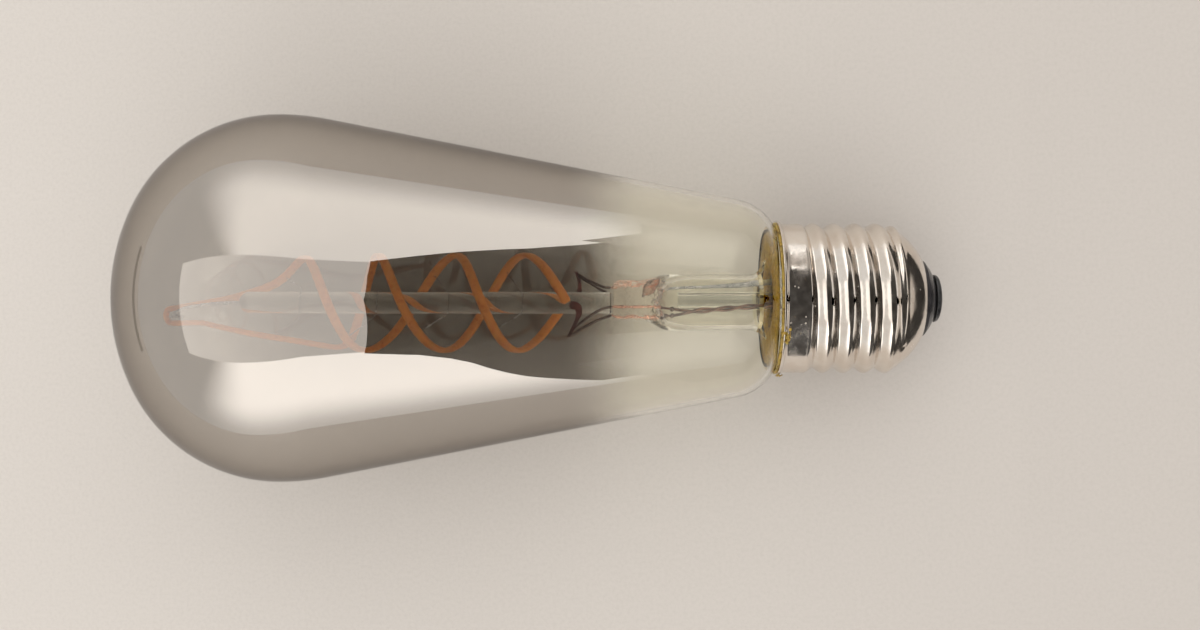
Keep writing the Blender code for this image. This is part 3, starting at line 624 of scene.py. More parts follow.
def bulb_outline(inset=0.0):
    """The bulb's outline (r, z) from the crown to the mouth, or its inner side at an inset."""
    crown_z = BULB_LENGTH - CROWN_ARC
    shoulder_r = BULB_RADIUS - SHOULDER_ARC
    rise = math.sqrt((CROWN_ARC - SHOULDER_ARC) ** 2 - shoulder_r ** 2)
    shoulder_z = crown_z + rise
    join = math.degrees(math.atan2(shoulder_r, rise))
    crown = arc(0.0, crown_z, CROWN_ARC - inset, 0.0, join, 16)
    shoulder = arc(shoulder_r, shoulder_z, SHOULDER_ARC - inset, join, 90.0, 30)
    flank = arc(BULB_RADIUS - FLANK_ARC, shoulder_z, FLANK_ARC - inset, 90.0, 90.0 + CONE_ANGLE, 10)
    slope = math.radians(CONE_ANGLE)
    end_r = BULB_RADIUS - FLANK_ARC + FLANK_ARC * math.cos(slope)
    end_z = shoulder_z - FLANK_ARC * math.sin(slope)
    along = (end_z + NECK_ARC * math.sin(slope) - NECK_ARC_Z) / math.cos(slope)
    neck_r = end_r - along * math.sin(slope) - NECK_ARC * math.cos(slope)
    neck = arc(neck_r, NECK_ARC_Z, NECK_ARC - inset, 90.0 + CONE_ANGLE, 90.0 + NECK_TURN_END, 24)
    last_r, last_z = flank[-1]
    first_r, first_z = neck[0]
    cone = [
        (last_r + (first_r - last_r) * i / CONE_STEPS, last_z + (first_z - last_z) * i / CONE_STEPS)
        for i in range(1, CONE_STEPS)
    ]
    return crown + shoulder[1:] + flank[1:] + cone + neck


def make_bulb():
    """A blown shell: the coating is on its outer side only."""
    bm = bmesh.new()
    outer = bulb_outline(SKIN_INSET)
    inner = bulb_outline(GLASS_WALL)
    rows = [[bm.verts.new((0.0, 0.0, outer[0][1]))]]
    rows += [round_ring(bm, GLASS_SEGMENTS, r, z) for r, z in outer[1:]]
    rows += [round_ring(bm, GLASS_SEGMENTS, r, z) for r, z in reversed(inner[1:])]
    rows.append([bm.verts.new((0.0, 0.0, inner[0][1]))])
    outer_bands = len(outer) - 1
    slots = [0 if band < outer_bands else 1 for band in range(len(rows) - 1)]
    skin(bm, rows, slots=slots)
    finishes = (FINISH["smoked_glass"], INNER_GLASS)
    add_piece("bulb_glass", bm, "smoked_glass", ["glass_envelope"], finishes)


# Screw cap


def thread_radius(z, angle):
    turns = (z - THREAD_TOP_CREST) / THREAD_PITCH - (angle - math.pi / 2) / TAU
    wave = (0.5 + 0.5 * math.cos(TAU * turns)) ** THREAD_SHARPNESS
    return THREAD_ROOT + (THREAD_CREST - THREAD_ROOT) * wave


def cap_radius(z, angle):
    """Radius of the shell's outer side below the rim: skirt, rolled thread, nose."""
    thread = thread_radius(z, angle)
    nose_r, nose_z = NOSE_ARC_CENTRE
    nose = nose_r + math.sqrt(max(NOSE_ARC ** 2 - (nose_z - min(z, nose_z)) ** 2, 0.0))
    radius = thread + (SKIRT_RADIUS - thread) * ramp(z, *THREAD_FADE_TOP)
    return radius + (min(nose, THREAD_CREST) - radius) * (1.0 - ramp(z, *THREAD_FADE_NOSE))


def nick_depth(nicks, z, angle):
    """How far small knocks have pushed the sheet in at this place."""
    depth = 0.0
    for nick_z, nick_angle, size, deep in nicks:
        turn = (angle - nick_angle + math.pi) % TAU - math.pi
        away = ((z - nick_z) ** 2 + (turn * THREAD_CREST) ** 2) / size ** 2
        if away < 6:
            depth += deep * math.exp(-away)
    return depth


def make_cap():
    nicks = [
        (rng.uniform(*NICK_Z), rng.uniform(0.0, TAU), rng.uniform(*NICK_SIZE), rng.uniform(*NICK_DEPTH))
        for _ in range(RANDOM_NICKS)
    ]
    nicks += SEEN_NICKS
    bm = bmesh.new()
    rows = []

    def add_row(radius_at, z):
        def point(a):
            r = radius_at(a) - SHELL_INSET - nick_depth(nicks, z, a)
            return (r * math.cos(a), r * math.sin(a), z)
        rows.append(ring(bm, CAP_SEGMENTS, point))

    lip = arc(RIM_RADIUS - RIM_LIP, RIM_Z - RIM_LIP, RIM_LIP, 0.0, 90.0, 4)
    flare = arc(RIM_RADIUS, RIM_FLARE_Z, RIM_FLARE, -20.0, -90.0, 8)
    for r, z in lip + flare:
        add_row(lambda a, r=r: r, z)
    thread_step = THREAD_PITCH / THREAD_ROWS_PER_TURN
    z = flare[-1][1] - SKIRT_FIRST_STEP
    while z > THREAD_FADE_NOSE[0]:
        add_row(lambda a, z=z: cap_radius(z, a), z)
        z -= thread_step if z < THREAD_FADE_TOP[1] + SKIRT_STEP else SKIRT_STEP
    nose_r, nose_z = NOSE_ARC_CENTRE
    first = math.degrees(math.acos((NOSE_FIRST_Z - nose_z) / NOSE_ARC))
    last = 180.0 - math.degrees(math.asin((NOSE_OPENING_RADIUS - nose_r) / NOSE_ARC))
    for r, z in arc(nose_r, nose_z, NOSE_ARC, first, last, 24):
        add_row(lambda a, r=r: r, z)
    outer = [[vertex.co.copy() for vertex in row] for row in rows]

    def inner_side(place):
        out = Vector((place.x, place.y, 0.0)).normalized()
        lift = NOSE_LIFT * ramp(place.z, *NOSE_LIFT_Z)
        return place - out * CAP_WALL * (1 - NOSE_THINNING * lift) + Vector((0, 0, lift))

    rows += [[bm.verts.new(inner_side(place)) for place in row] for row in reversed(outer)]
    skin(bm, rows, closed=True)
    add_piece("screw_shell", bm, "nickel_plate", ["cap_shell"], sharp_angle=70)


def make_contact_end():
    """The black insulator in the nose, and the contact disc with its shank."""
    nose_r, nose_z = NOSE_ARC_CENTRE
    inside = NOSE_ARC - CAP_WALL - CLEARANCE - SEAT_SPARE
    seat = arc(nose_r, nose_z, inside, *SEAT_ANGLES, 8)
    outline = [
        (SHANK_RADIUS + CLEARANCE, INSULATOR_TOP_Z),
        (SHANK_RADIUS + CLEARANCE, INSULATOR_FOOT_Z + CLEARANCE),
        (CONTACT_RADIUS + 0.15, INSULATOR_FOOT_Z + CLEARANCE),
        (CONTACT_RADIUS + 1.35, INSULATOR_FOOT_Z + 1.0),
        (NOSE_OPENING_RADIUS - 0.55, 3.1),
        (NOSE_OPENING_RADIUS - 0.5, 4.5),
        *seat,
        (seat[-1][0] - 2.0, INSULATOR_TOP_Z),
    ]
    turned("insulator", rounded(outline), "black_insulator", ["cap_insulator"], 96, closed=True)
    disc = [
        (0.0, 0.0),
        (CONTACT_FLAT, 0.02),
        (3.0, 0.17),
        (CONTACT_RADIUS - 0.25, 0.5),
        (CONTACT_RADIUS, 0.85),
        (CONTACT_RADIUS, INSULATOR_FOOT_Z),
        (SHANK_RADIUS, INSULATOR_FOOT_Z),
        (SHANK_RADIUS, INSULATOR_TOP_Z + 0.6),
        (0.0, INSULATOR_TOP_Z + 0.6),
    ]
    # the contact's finish is painted near-black, for the dark room its plating mirrors
    turned("contact", rounded(disc, 0.2), "contact_metal", ["centre_contact"], 96)


# Cement: its top wets the glass of the flare from behind, and a bead of it came out at the rim
CEMENT_TOP_Z = 29.85
CEMENT_FOOT_Z = 25.5
CEMENT_SEGMENTS = 240
WAVES = 16
WAVE_COUNTS = (3, 40)
WAVE_SIZES = (0.02, 0.06)
WAVE_DRIFT = 1.3
BEAD_Z = 29.25
BEAD_RADIUS = 12.95
BEAD_HALF_WIDTH = 0.33
BEAD_HALF_HEIGHT = 0.24
BEAD_SEGMENTS = 300
BEAD_SIDES = 10
# Grains in clumps, as (count, z, its spread, degrees round the cap, their spread, small, large)
CLUMPS = ((30, 28.5, 0.38, -29.0, 2.4, 0.10, 0.30), (14, 28.9, 0.25, -78.0, 4.0, 0.08, 0.20))
LOOSE_GRAINS = 40
LOOSE_GRAIN_Z = (25.5, 29.0)
LOOSE_GRAIN_SIZE = (0.02, 0.05)
GRAIN_SINK = 0.03
RIM_ROLL_Z = (27.6, 28.2)


def crumb(bm, place, size):
    """One grain: a small lump with uneven corners."""
    made = bmesh.ops.create_icosphere(bm, subdivisions=2, radius=size)
    stretch = Vector((rng.uniform(0.7, 1.3), rng.uniform(0.7, 1.3), rng.uniform(0.7, 1.2)))
    for vertex in made["verts"]:
        vertex.co = place + vertex.co * stretch * rng.uniform(0.75, 1.15)


def on_rim(z, degrees):
    """A place on the skirt, or on the rolled rim above it."""
    a = math.radians(degrees)
    z = min(z, RIM_Z)
    r = SKIRT_RADIUS + (RIM_RADIUS - SKIRT_RADIUS) * ramp(z, *RIM_ROLL_Z) - GRAIN_SINK
    return Vector((r * math.cos(a), r * math.sin(a), z))


def make_cement():
    """The ring inside the cap, its squeezed-out bead along the rim and a few crumbs."""
    inner = SKIRT_RADIUS - CAP_WALL - CLEARANCE
    profile = rounded([
        (5.4, 29.0), (5.8, 27.6), (10.8, 26.2), (11.4, CEMENT_FOOT_Z), (inner, CEMENT_FOOT_Z),
        (inner, 29.0), (inner - 0.3, 29.6), (9.0, CEMENT_TOP_Z), (6.0, CEMENT_TOP_Z),
    ], 0.25)
    bm = bmesh.new()
    waves = [
        (rng.randint(*WAVE_COUNTS), rng.uniform(0.0, TAU), rng.uniform(*WAVE_SIZES)) for _ in range(WAVES)
    ]

    def wobble(a, z):
        return sum(size * math.sin(count * a + phase + z * WAVE_DRIFT) for count, phase, size in waves)

    def ring_point(a, r, z):
        dip = 0.6 if z > 28.6 else 0.2
        reach = r - 0.4 * abs(wobble(a, z))
        return (reach * math.cos(a), reach * math.sin(a), z - dip * abs(wobble(a, r)))

    def bead_point(a, t):
        reach = BEAD_RADIUS + (BEAD_HALF_WIDTH + 0.5 * wobble(a, t)) * math.cos(t)
        height = BEAD_HALF_HEIGHT + 0.4 * wobble(a, t + 1)
        return (reach * math.cos(a), reach * math.sin(a), BEAD_Z + height * math.sin(t))

    rows = [ring(bm, CEMENT_SEGMENTS, lambda a, r=r, z=z: ring_point(a, r, z)) for r, z in profile]
    skin(bm, rows, closed=True)
    add_piece("cement", bm, "amber_cement", ["cement_ring"])

    bm = bmesh.new()
    turns = [TAU * k / BEAD_SIDES for k in range(BEAD_SIDES)]
    rows = [ring(bm, BEAD_SEGMENTS, lambda a, t=t: bead_point(a, t)) for t in turns]
    skin(bm, rows, closed=True)
    add_piece("cement_bead", bm, "amber_cement")

    bm = bmesh.new()
    for count, z, spread_z, degrees, spread, small, large in CLUMPS:
        for _ in range(count):
            place = on_rim(rng.gauss(z, spread_z), rng.gauss(degrees, spread))
            crumb(bm, place, rng.uniform(small, large))
    for _ in range(LOOSE_GRAINS):
        place = on_rim(rng.uniform(*LOOSE_GRAIN_Z), rng.uniform(-180.0, 180.0))
        crumb(bm, place, rng.uniform(*LOOSE_GRAIN_SIZE))
    add_piece("cement_crumbs", bm, "amber_cement")


# Stem: its pinched inside and its press, as (half x, half y, z, centre y, squareness) of ovals
PINCH_ROWS = (
    (0.6, 0.7, 50.05), (1.4, 1.6, 49.7), (2.4, 2.6, 49.0), (3.2, 3.3, 48.1), (3.7, 3.7, 46.8),
    (3.95, 3.95, 45.4),
)
PRESS_ROWS = (
    (4.65, 4.8, 48.6, -0.7, 2.1), (4.3, 4.6, 49.4, -0.6, 2.2), (3.6, 4.0, 50.6, -0.45, 2.5),
    (3.2, 3.6, 52.2, PRESS_Y, 3.0), (3.0, 3.45, 53.5, PRESS_Y, 3.2), (3.15, 3.55, 55.2, PRESS_Y, 3.2),
    (3.1, 3.5, 56.7, PRESS_Y, 3.0), (2.85, 3.2, PRESS_TOP_Z, PRESS_Y, 3.0),
    (2.2, 2.5, PRESS_TOP_Z + 0.12, PRESS_Y, 2.6),
)
BORE_TOP_Z = 43.8
TUBE_FOOT_Z = 34.5
TUBE_TOP_Z = 47.8
TUBE_STEP = 1.3
FLARE_DROP = 0.4
UNDER_EASE = 1.3
# Bands at either end of the flare's curve that keep the tube's glass
TUBE_BANDS = 4
# The hole in the press: its centre, half sizes along, across and out, and turn in degrees
BLOW_HOLE_CENTRE = (1.3, 1.75, 51.1)
BLOW_HOLE_SIZE = (2.1, 1.15, 0.45)
BLOW_HOLE_TURN = 43.0


def oval(bm, half_x, half_y, z, centre_y, squareness=2.0):
    """A ring that is an ellipse or a rounded rectangle."""
    def point(a):
        u, v = squared(a, squareness)
        return (half_x * u, centre_y + half_y * v, z)
    return ring(bm, STEM_SEGMENTS, point)


def make_blow_hole():
    """The leaf-shaped scar of the hole through which the lamp was pumped, browned by the flame."""
    bm = bmesh.new()
    made = bmesh.ops.create_icosphere(bm, subdivisions=4, radius=1.0)
    turn = math.radians(BLOW_HOLE_TURN)
    length, width, depth = BLOW_HOLE_SIZE
    for vertex in made["verts"]:
        u, v, w = vertex.co
        dent = 1 + 0.08 * math.sin(7 * u + 4 * v)
        along = length * u
        across = width * v * (1 - 0.5 * u * u) * dent
        out = depth * w * dent
        y = along * math.sin(turn) + across * math.cos(turn)
        z = -along * math.cos(turn) + across * math.sin(turn)
        vertex.co = Vector(BLOW_HOLE_CENTRE) + Vector((out, y, z))
    add_piece("blow_hole", bm, "clear_glass", finishes=(BURNT_GLASS,))


def make_stem():
    """One glass skin: the pinched inside, the flare and the outside up to the press."""
    bore = STEM_RADIUS - STEM_WALL
    throat_z = FLARE_Z + FLARE_DROP + FLARE_ARC
    throat_r = STEM_RADIUS + FLARE_ARC
    under = arc(throat_r, throat_z, FLARE_ARC + STEM_WALL, -90.0, -180.0, 10)
    over = arc(throat_r, throat_z, FLARE_ARC, -180.0, -90.0, 10)
    bm = bmesh.new()
    rows = [oval(bm, *row, STEM_Y) for row in PINCH_ROWS]
    rows += [oval(bm, bore, bore, BORE_TOP_Z - TUBE_STEP * i, STEM_Y) for i in range(8)]
    flare_from = len(rows) + TUBE_BANDS
    for r, z in under:
        rows.append(oval(bm, r, r, z, STEM_Y * (throat_r - r) / FLARE_ARC / UNDER_EASE))
    foot_z = FLARE_Z - STEM_WALL
    for chamfer, z in ((0.1, foot_z), (0.0, foot_z + 0.2), (0.0, FLARE_Z - 0.2), (0.1, FLARE_Z)):
        rows.append(round_ring(bm, STEM_SEGMENTS, FLARE_RADIUS - chamfer, z))
    for r, z in over:
        rows.append(oval(bm, r, r, z, STEM_Y * (throat_r - r) / FLARE_ARC))
    flare_to = len(rows) - TUBE_BANDS
    heights = [TUBE_FOOT_Z + TUBE_STEP * i for i in range(1, 10)] + [TUBE_TOP_Z]
    rows += [oval(bm, STEM_RADIUS, STEM_RADIUS, z, STEM_Y) for z in heights]
    rows += [oval(bm, *row) for row in PRESS_ROWS]
    slots = [1 if flare_from <= band < flare_to else 0 for band in range(len(rows) - 1)]
    skin(bm, rows, slots=slots)
    add_piece("stem_glass", bm, "clear_glass", ["stem_flare"], (STEM_GLASS, FLARE_GLASS))


def make_exhaust_tube():
    low, high = EXHAUST_ENDS
    tube = [
        (0.0, low), (0.5, low + 0.25), (0.8, low + 0.7), (1.3, low + 2.2), (EXHAUST_RADIUS, low + 4.5),
        (EXHAUST_RADIUS, high), (EXHAUST_BORE, high), (EXHAUST_BORE, low + 5.0), (0.6, low + 3.0),
        (0.0, low + 2.4),
    ]
    turned("exhaust_glass", tube, "clear_glass", ["exhaust_tube"], 40, EXHAUST_CENTRE)


def make_post():
    low, high = POST_ENDS
    dome = arc(0.0, high - POST_RADIUS, POST_RADIUS, 90.0, 0.0, 8)
    foot = [(0.0, low), (POST_RADIUS - 0.2, low), (POST_RADIUS, low + 0.2)]
    turned("post_glass", foot + dome[:-1] + [(0.0, high)], "clear_glass", ["glass_post"], 48, (0.0, POST_Y))


# Filament


def cylindrical(angle, radius, z):
    """A point about the post's axis, its angle in degrees from +x towards +y."""
    a = math.radians(angle)
    return Vector((radius * math.cos(a), POST_Y + radius * math.sin(a), z))


def strand_stations(start, quarters, top):
    """(angle, radius, z) of a strand: a station every quarter turn, then its run to the hook."""
    last = len(quarters) - 1
    radii = [FILAMENT_RADIUS - FILAMENT_END_INSET * (i in (0, last)) for i in range(last + 1)]
    return [(start + 90 * i, radii[i], z) for i, z in enumerate(quarters)] + list(top)


def strand_at(stations, share):
    """The strand's place at a share of its stations, smooth in angle, radius and height."""
    last = len(stations) - 1
    k = min(int(share * last), last - 1)
    t = share * last - k
    ends = [stations[max(k - 1, 0)], stations[k], stations[k + 1], stations[min(k + 2, last)]]
    return [spline_point(*four, t) for four in zip(*ends)]


STRAND_A = strand_stations(0, STRAND_A_QUARTERS, STRAND_A_TOP)
STRAND_B = strand_stations(180, STRAND_B_QUARTERS, STRAND_B_TOP)


def make_filament():
    """One strip: up strand A, over the hook and down strand B."""
    shares = [i / STRAND_SAMPLES for i in range(STRAND_SAMPLES + 1)]
    up = [cylindrical(*strand_at(STRAND_A, share)) for share in shares]
    down = [cylindrical(*strand_at(STRAND_B, 1 - share)) for share in shares]
    leg = HOOK_WIRE + CLEARANCE + HOOK_SPARE + FILAMENT_THICKNESS / 2
    fold = [
        Vector((0.0, HOOK_Y - leg * math.cos(t), HOOK_Z + leg * math.sin(t)))
        for t in (math.pi * i / 4 for i in range(5))
    ]
    path = smooth_path(up + fold + down, FILAMENT_STEP)

    def facing(i):
        point = path[i]
        outward = Vector((point.x, point.y - POST_Y, 0.0)).normalized()
        over_hook = Vector((0.0, point.y - HOOK_Y, max(point.z - HOOK_Z, 0.0) + 0.02)).normalized()
        share = ramp(point.z, *FILAMENT_TURN_OVER_Z)
        return (outward * (1 - share) + over_hook * share).normalized()

    half_width = FILAMENT_WIDTH / 2 - 0.02
    half_thick = FILAMENT_THICKNESS / 2 - 0.05
    corners = [squared(TAU * i / FILAMENT_SIDES, FILAMENT_SQUARENESS) for i in range(FILAMENT_SIDES)]
    section = [(half_width * u, half_thick * v) for u, v in corners]
    bm = bmesh.new()
    rows = sweep(bm, path, lambda i: section, facing)
    for i, row in enumerate(rows):
        swell = SWELL + CHIP_SWELL * math.cos(TAU * i / CHIP_ROWS) + LOOSE_SWELL * rng.uniform(-1, 1)
        end = min(i, len(rows) - 1 - i)
        shrink = 0.75 if end == 0 else 1.0
        for vertex in row:
            vertex.co = path[i].lerp(vertex.co, swell * shrink)
    skin(bm, rows)
    add_piece("filament_strip", bm, "phosphor_silicone", ["led_filament"])


# Wires: the seals in the press, the leads on both sides of it, the anchors and the hook
LEAD_WIRE = 0.24
FOIL_WIRE = 0.25
FOIL_FLAT_Z = (44.0, 30.0)
FOIL_SPREAD = 1.3
TAIL_WIRE = 0.18
SEAL_ENDS = (49.4, 57.8)
SEAL_SPARE = 0.1
SEAL_UPPER = (-1.6, 1.9)
SEAL_LOWER_1 = (2.3, -1.5)
SEAL_LOWER_2 = (1.0, -3.0)
SEALS = {"upper": SEAL_UPPER, "lower_1": SEAL_LOWER_1, "lower_2": SEAL_LOWER_2}
TAIL_BEND_Z = 48.6
KNOT_Z = 47.5
KNOT_RADIUS = 0.42
KNOTS = ((2.5, -1.85), (1.6, -2.95))
TWIST_PITCH = 8.0
TWIST_RADIUS = 0.27
TWIST_ENDS = (45.6, 21.0)
TWIST_POINTS = 49
TWIST_PHASE = 0.6
TWIST_FROM = (2.6, -2.4)
TWIST_DRIFT = (-0.4, 1.9)
LEAD_ROUTES = {
    "lead_wire_lower": (
        (*SEAL_LOWER_1, 57.9), (2.5, -1.9, 59.6), (2.6, -3.3, 62.0), (2.6, -5.0, 64.2),
        (2.6, -5.75, 64.9), (2.4, -6.1, 64.5), (2.2, -5.3, 63.2), (1.6, -3.9, 60.4),
        (*SEAL_LOWER_2, 57.9),
    ),
    "lead_wire_upper": (
        (*SEAL_UPPER, 57.9), (-1.8, 2.0, 59.2), (-2.3, 2.9, 61.2), (-2.6, 4.0, 63.1),
        (-2.9, 4.2, 63.5), (-3.1, 3.7, 63.2), (-3.0, 2.6, 61.4), (-2.9, 1.4, 59.4), (-2.7, 1.2, 58.6),
    ),
}
OUTER_UPPER_ROUTE = (
    (*SEAL_UPPER, 49.3), (-1.3, 1.9, 46.0), (-0.6, 2.1, 40.0), (-0.2, 2.6, 33.0), (0.4, 3.4, 26.5),
    (1.2, 4.6, 21.2),
)
HOOK_ROUTE = (
    (0.2, POST_Y, 123.0), (0.9, -1.0, 127.0), (1.6, -1.8, 131.9), (1.6, HOOK_Y, 134.1),
    (0.6, HOOK_Y, HOOK_Z), (-0.6, HOOK_Y, HOOK_Z), (-1.6, HOOK_Y, 134.2), (-1.9, -3.5, 132.9),
)
ANCHOR_ROOTS = (73.4, 86.3, 98.8, 112.2)
ANCHOR_RISES = (4.5, 3.0)
ANCHOR_WIRE = 0.1


def height_match(stations, z):
    """The angle and radius at which a strand passes a height."""
    steps = 400
    best = min((strand_at(stations, i / steps) for i in range(steps + 1)), key=lambda v: abs(v[2] - z))
    return best[0], best[1]


def make_anchors():
    """Fine wires fused across the post, their tips bent in behind the filament, and the hook."""
    short = FILAMENT_THICKNESS / 2 + ANCHOR_WIRE
    front_rise, back_rise = ANCHOR_RISES
    for i, root in enumerate(ANCHOR_ROOTS):
        front, back = (STRAND_B, STRAND_A) if i % 2 == 0 else (STRAND_A, STRAND_B)
        front_angle, front_radius = height_match(front, root + front_rise)
        back_angle, back_radius = height_match(back, root + back_rise)
        wire(f"anchor_{i + 1}", [
            cylindrical(front_angle, front_radius - short, root + front_rise),
            cylindrical(front_angle, POST_RADIUS + 1.6, root + 0.5),
            cylindrical(front_angle, POST_RADIUS - 0.3, root),
            cylindrical(front_angle + 180, POST_RADIUS - 0.3, root),
            cylindrical(front_angle + 180, POST_RADIUS + 1.0, root + 0.2),
            cylindrical(back_angle, back_radius - short, root + back_rise),
        ], ANCHOR_WIRE, "bright_wire", [f"anchor_wire_{i + 1}"])
    wire("hook", HOOK_ROUTE, HOOK_WIRE, "bright_wire", ["top_hook"])


def make_leads():
    """The sealing wires in the press and the leads that run on to the filament's ends."""
    low, high = SEAL_ENDS
    for label, place in SEALS.items():
        ends = [(*place, low - SEAL_SPARE), (*place, (low + high) / 2), (*place, high + SEAL_SPARE)]
        wire(f"seal_{label}", ends, LEAD_WIRE, "seal_wire", [f"seal_wire_{label}"])
    for node, route in LEAD_ROUTES.items():
        wire(node.replace("wire_", ""), route, LEAD_WIRE, "dark_wire", [node])


def make_outer_leads():
    """Under the press: the foil lead, and two welded wires twisted together."""
    look = (FINISH["foil_metal"],)
    squash_foil(wire("foil_lead", OUTER_UPPER_ROUTE, FOIL_WIRE, "bright_wire", ["outer_lead_upper"], look))
    start, end = TWIST_ENDS
    for i, (knot, seal) in enumerate(zip(KNOTS, (SEAL_LOWER_1, SEAL_LOWER_2))):
        bm = bmesh.new()
        lump = bmesh.ops.create_icosphere(bm, subdivisions=3, radius=KNOT_RADIUS)
        for vertex in lump["verts"]:
            vertex.co = Vector((*knot, KNOT_Z)) + vertex.co * rng.uniform(0.93, 1.03)
        add_piece(f"knot_{i + 1}", bm, "dark_wire", [f"weld_knot_{i + 1}"])
        bend = (Vector(seal) + Vector(knot)) / 2
        tail = [(*seal, SEAL_ENDS[0]), (*bend, TAIL_BEND_Z), (*knot, KNOT_Z)]
        wire(f"tail_{i + 1}", tail, TAIL_WIRE, "brown_wire", [f"weld_tail_{i + 1}"])
        points = [Vector((*knot, KNOT_Z - KNOT_RADIUS + 0.1))]
        for k in range(TWIST_POINTS):
            share = k / (TWIST_POINTS - 1)
            centre = [c + drift * share for c, drift in zip(TWIST_FROM, TWIST_DRIFT)]
            a = math.pi * (TWIST_PHASE - i) + TAU * (start - end) * share / TWIST_PITCH
            around = Vector((math.cos(a), math.sin(a), 0.0)) * TWIST_RADIUS
            points.append(Vector((*centre, start + (end - start) * share)) + around)
        wire(f"twisted_lead_{i + 1}", points, LEAD_WIRE, "brown_wire", [f"outer_lead_lower_{i + 1}"])


def squash_foil(piece):
    """Flattens the upper outer lead into the foil that it is near the flare."""
    to_lamp = LAMP.inverted()
    for vertex in piece.data.vertices:
        place = to_lamp @ vertex.co
        share = ramp(place.z / MM, *FOIL_FLAT_Z)
        middle = foil_middle(place.z / MM)
        place.y += (place.y - middle * MM) * FOIL_SPREAD * share
        vertex.co = LAMP @ place


def foil_middle(z):
    """The foil's centre y at a height, between the route's points."""
    for (_, y1, z1), (_, y2, z2) in zip(OUTER_UPPER_ROUTE, OUTER_UPPER_ROUTE[1:]):
        if z1 >= z >= z2:
            return y1 + (y2 - y1) * (z1 - z) / (z1 - z2)
    return OUTER_UPPER_ROUTE[-1][1]


# The filament's ends: crimped tabs with strips bent over to the leads, as (x, y, z, half width)
TAB_STRIPS = {
    "end_strip_front": (
        ("end_tab_front", "tab_link_front"),
        ((7.7, -1.2, 65.0, 0.7), (7.8, -1.5, 63.9, 0.6), (7.4, -2.6, 63.6, 0.36), (6.6, -4.0, 64.1, 0.3),
         (4.8, -5.9, 65.0, 0.3), (3.2, -6.6, 65.4, 0.28)),
    ),
    "end_strip_rear": (
        ("end_tab_rear", "tab_link_rear"),
        ((-7.7, -0.2, 65.2, 0.7), (-7.8, 0.0, 64.1, 0.6), (-7.4, 1.2, 63.4, 0.36), (-6.3, 3.2, 63.4, 0.3),
         (-4.6, 4.6, 63.9, 0.3), (-3.3, 4.7, 64.1, 0.28)),
    ),
}
STRIP_THICKNESS = 0.18
STRIP_STEP = 0.2
STRIP_WIDTH_STEP = 0.05
STRIPS_MIDDLE = Vector((0.0, POST_Y, 64.0))
STRIP_CORNERS = ((-1, -1), (-1, 1), (1, 1), (1, -1))


def make_end_strips():
    """Flat strips that widen into the filament's crimped tabs."""
    for name, (nodes, stations) in TAB_STRIPS.items():
        path = smooth_path([station[:3] for station in stations], STRIP_STEP)
        halves = [(station[3], 0.0, i) for i, station in enumerate(stations)]
        widths = smooth_path(halves, STRIP_WIDTH_STEP)

        def section_at(i, path=path, widths=widths):
            half = widths[round(i / (len(path) - 1) * (len(widths) - 1))].x
            return [(u * half, v * STRIP_THICKNESS / 2) for u, v in STRIP_CORNERS]

        bm = bmesh.new()
        skin(bm, sweep(bm, path, section_at, lambda i, path=path: path[i] - STRIPS_MIDDLE))
        add_piece(name, bm, "heat_stained_tab", nodes, sharp_angle=40)


# Camera and floor, the floor a little darker on the cap's side: a painted shade for the light the room
# lacks on that side
FLOOR_SIZE = 6.0
TABLE_COLOURS = ((0.495, 0.458, 0.421, 1.0), (0.525, 0.489, 0.452, 1.0))
TABLE_SPECK = (0.32, 0.29, 0.26, 1.0)
TABLE_PAINTED_SHADE = (0.30, 0.265, 0.235, 1.0)
TABLE_FADE = 0.34
TABLE_FADE_X = (-0.12, 0.16)


def make_camera():
    camera = bpy.data.objects.new("camera", bpy.data.cameras.new("camera"))
    camera.location = CAMERA_PLACE
    camera.rotation_euler = (0.0, math.radians(CAMERA_TILT), 0.0)
    camera.data.lens = CAMERA_LENS
    camera.data.clip_start = 0.01
    bpy.context.scene.collection.objects.link(camera)
    bpy.context.scene.camera = camera


def make_floor():
    made, n = new_material("table_top")
    where = n.place()
    fine = n.noise(1400.0, 6.0, 0.7, where)
    broad = n.noise(9.0, 3.0, 0.5, where)
    colour = n.mix(broad, *TABLE_COLOURS)
    colour = n.mix(n.step(fine, 0.35, 0.75, 0.0, 0.2), colour, TABLE_SPECK)
    across = n.add("ShaderNodeSeparateXYZ")
    n.feed(across.inputs[0], where)
    # painted shade: the floor's colour darkens towards the cap's side
    painted_shade = n.step(across.outputs["X"], *TABLE_FADE_X, 0.0, TABLE_FADE)
    colour = n.mix(painted_shade, colour, TABLE_PAINTED_SHADE)
    relief = n.bump(fine, 0.12, 0.0003)
    n.output(n.principled(Base_Color=colour, Roughness=0.62, Normal=relief))
    bm = bmesh.new()
    bmesh.ops.create_grid(bm, x_segments=8, y_segments=8, size=FLOOR_SIZE)
    new_object("floor", bm, (made,))


# Soft studio light: tall diffusers at both sides, a ceiling between them and a dim room beyond.
# Places on the sky are given as on a level ceiling one unit up.
SIDE_PLUS_Y = 1.95
SIDE_MINUS_Y = 2.65
SIDE_FOOT = 0.21
SIDE_FOOT_Z = (-0.02, 0.42)
SIDE_END = (-0.9, -0.15)
CEILING = 1.3
CEILING_SLOPE = -0.25
CEILING_PLUS_Y = 0.465
CEILING_MINUS_Y = 0.80
CEILING_END_X = -1.2
ROOM = 0.8
LIGHT_COLOUR = (1.0, 0.985, 0.965, 1.0)
EDGE_SOFTNESS = 0.012
FAR_EDGE_SOFTNESS = 0.03
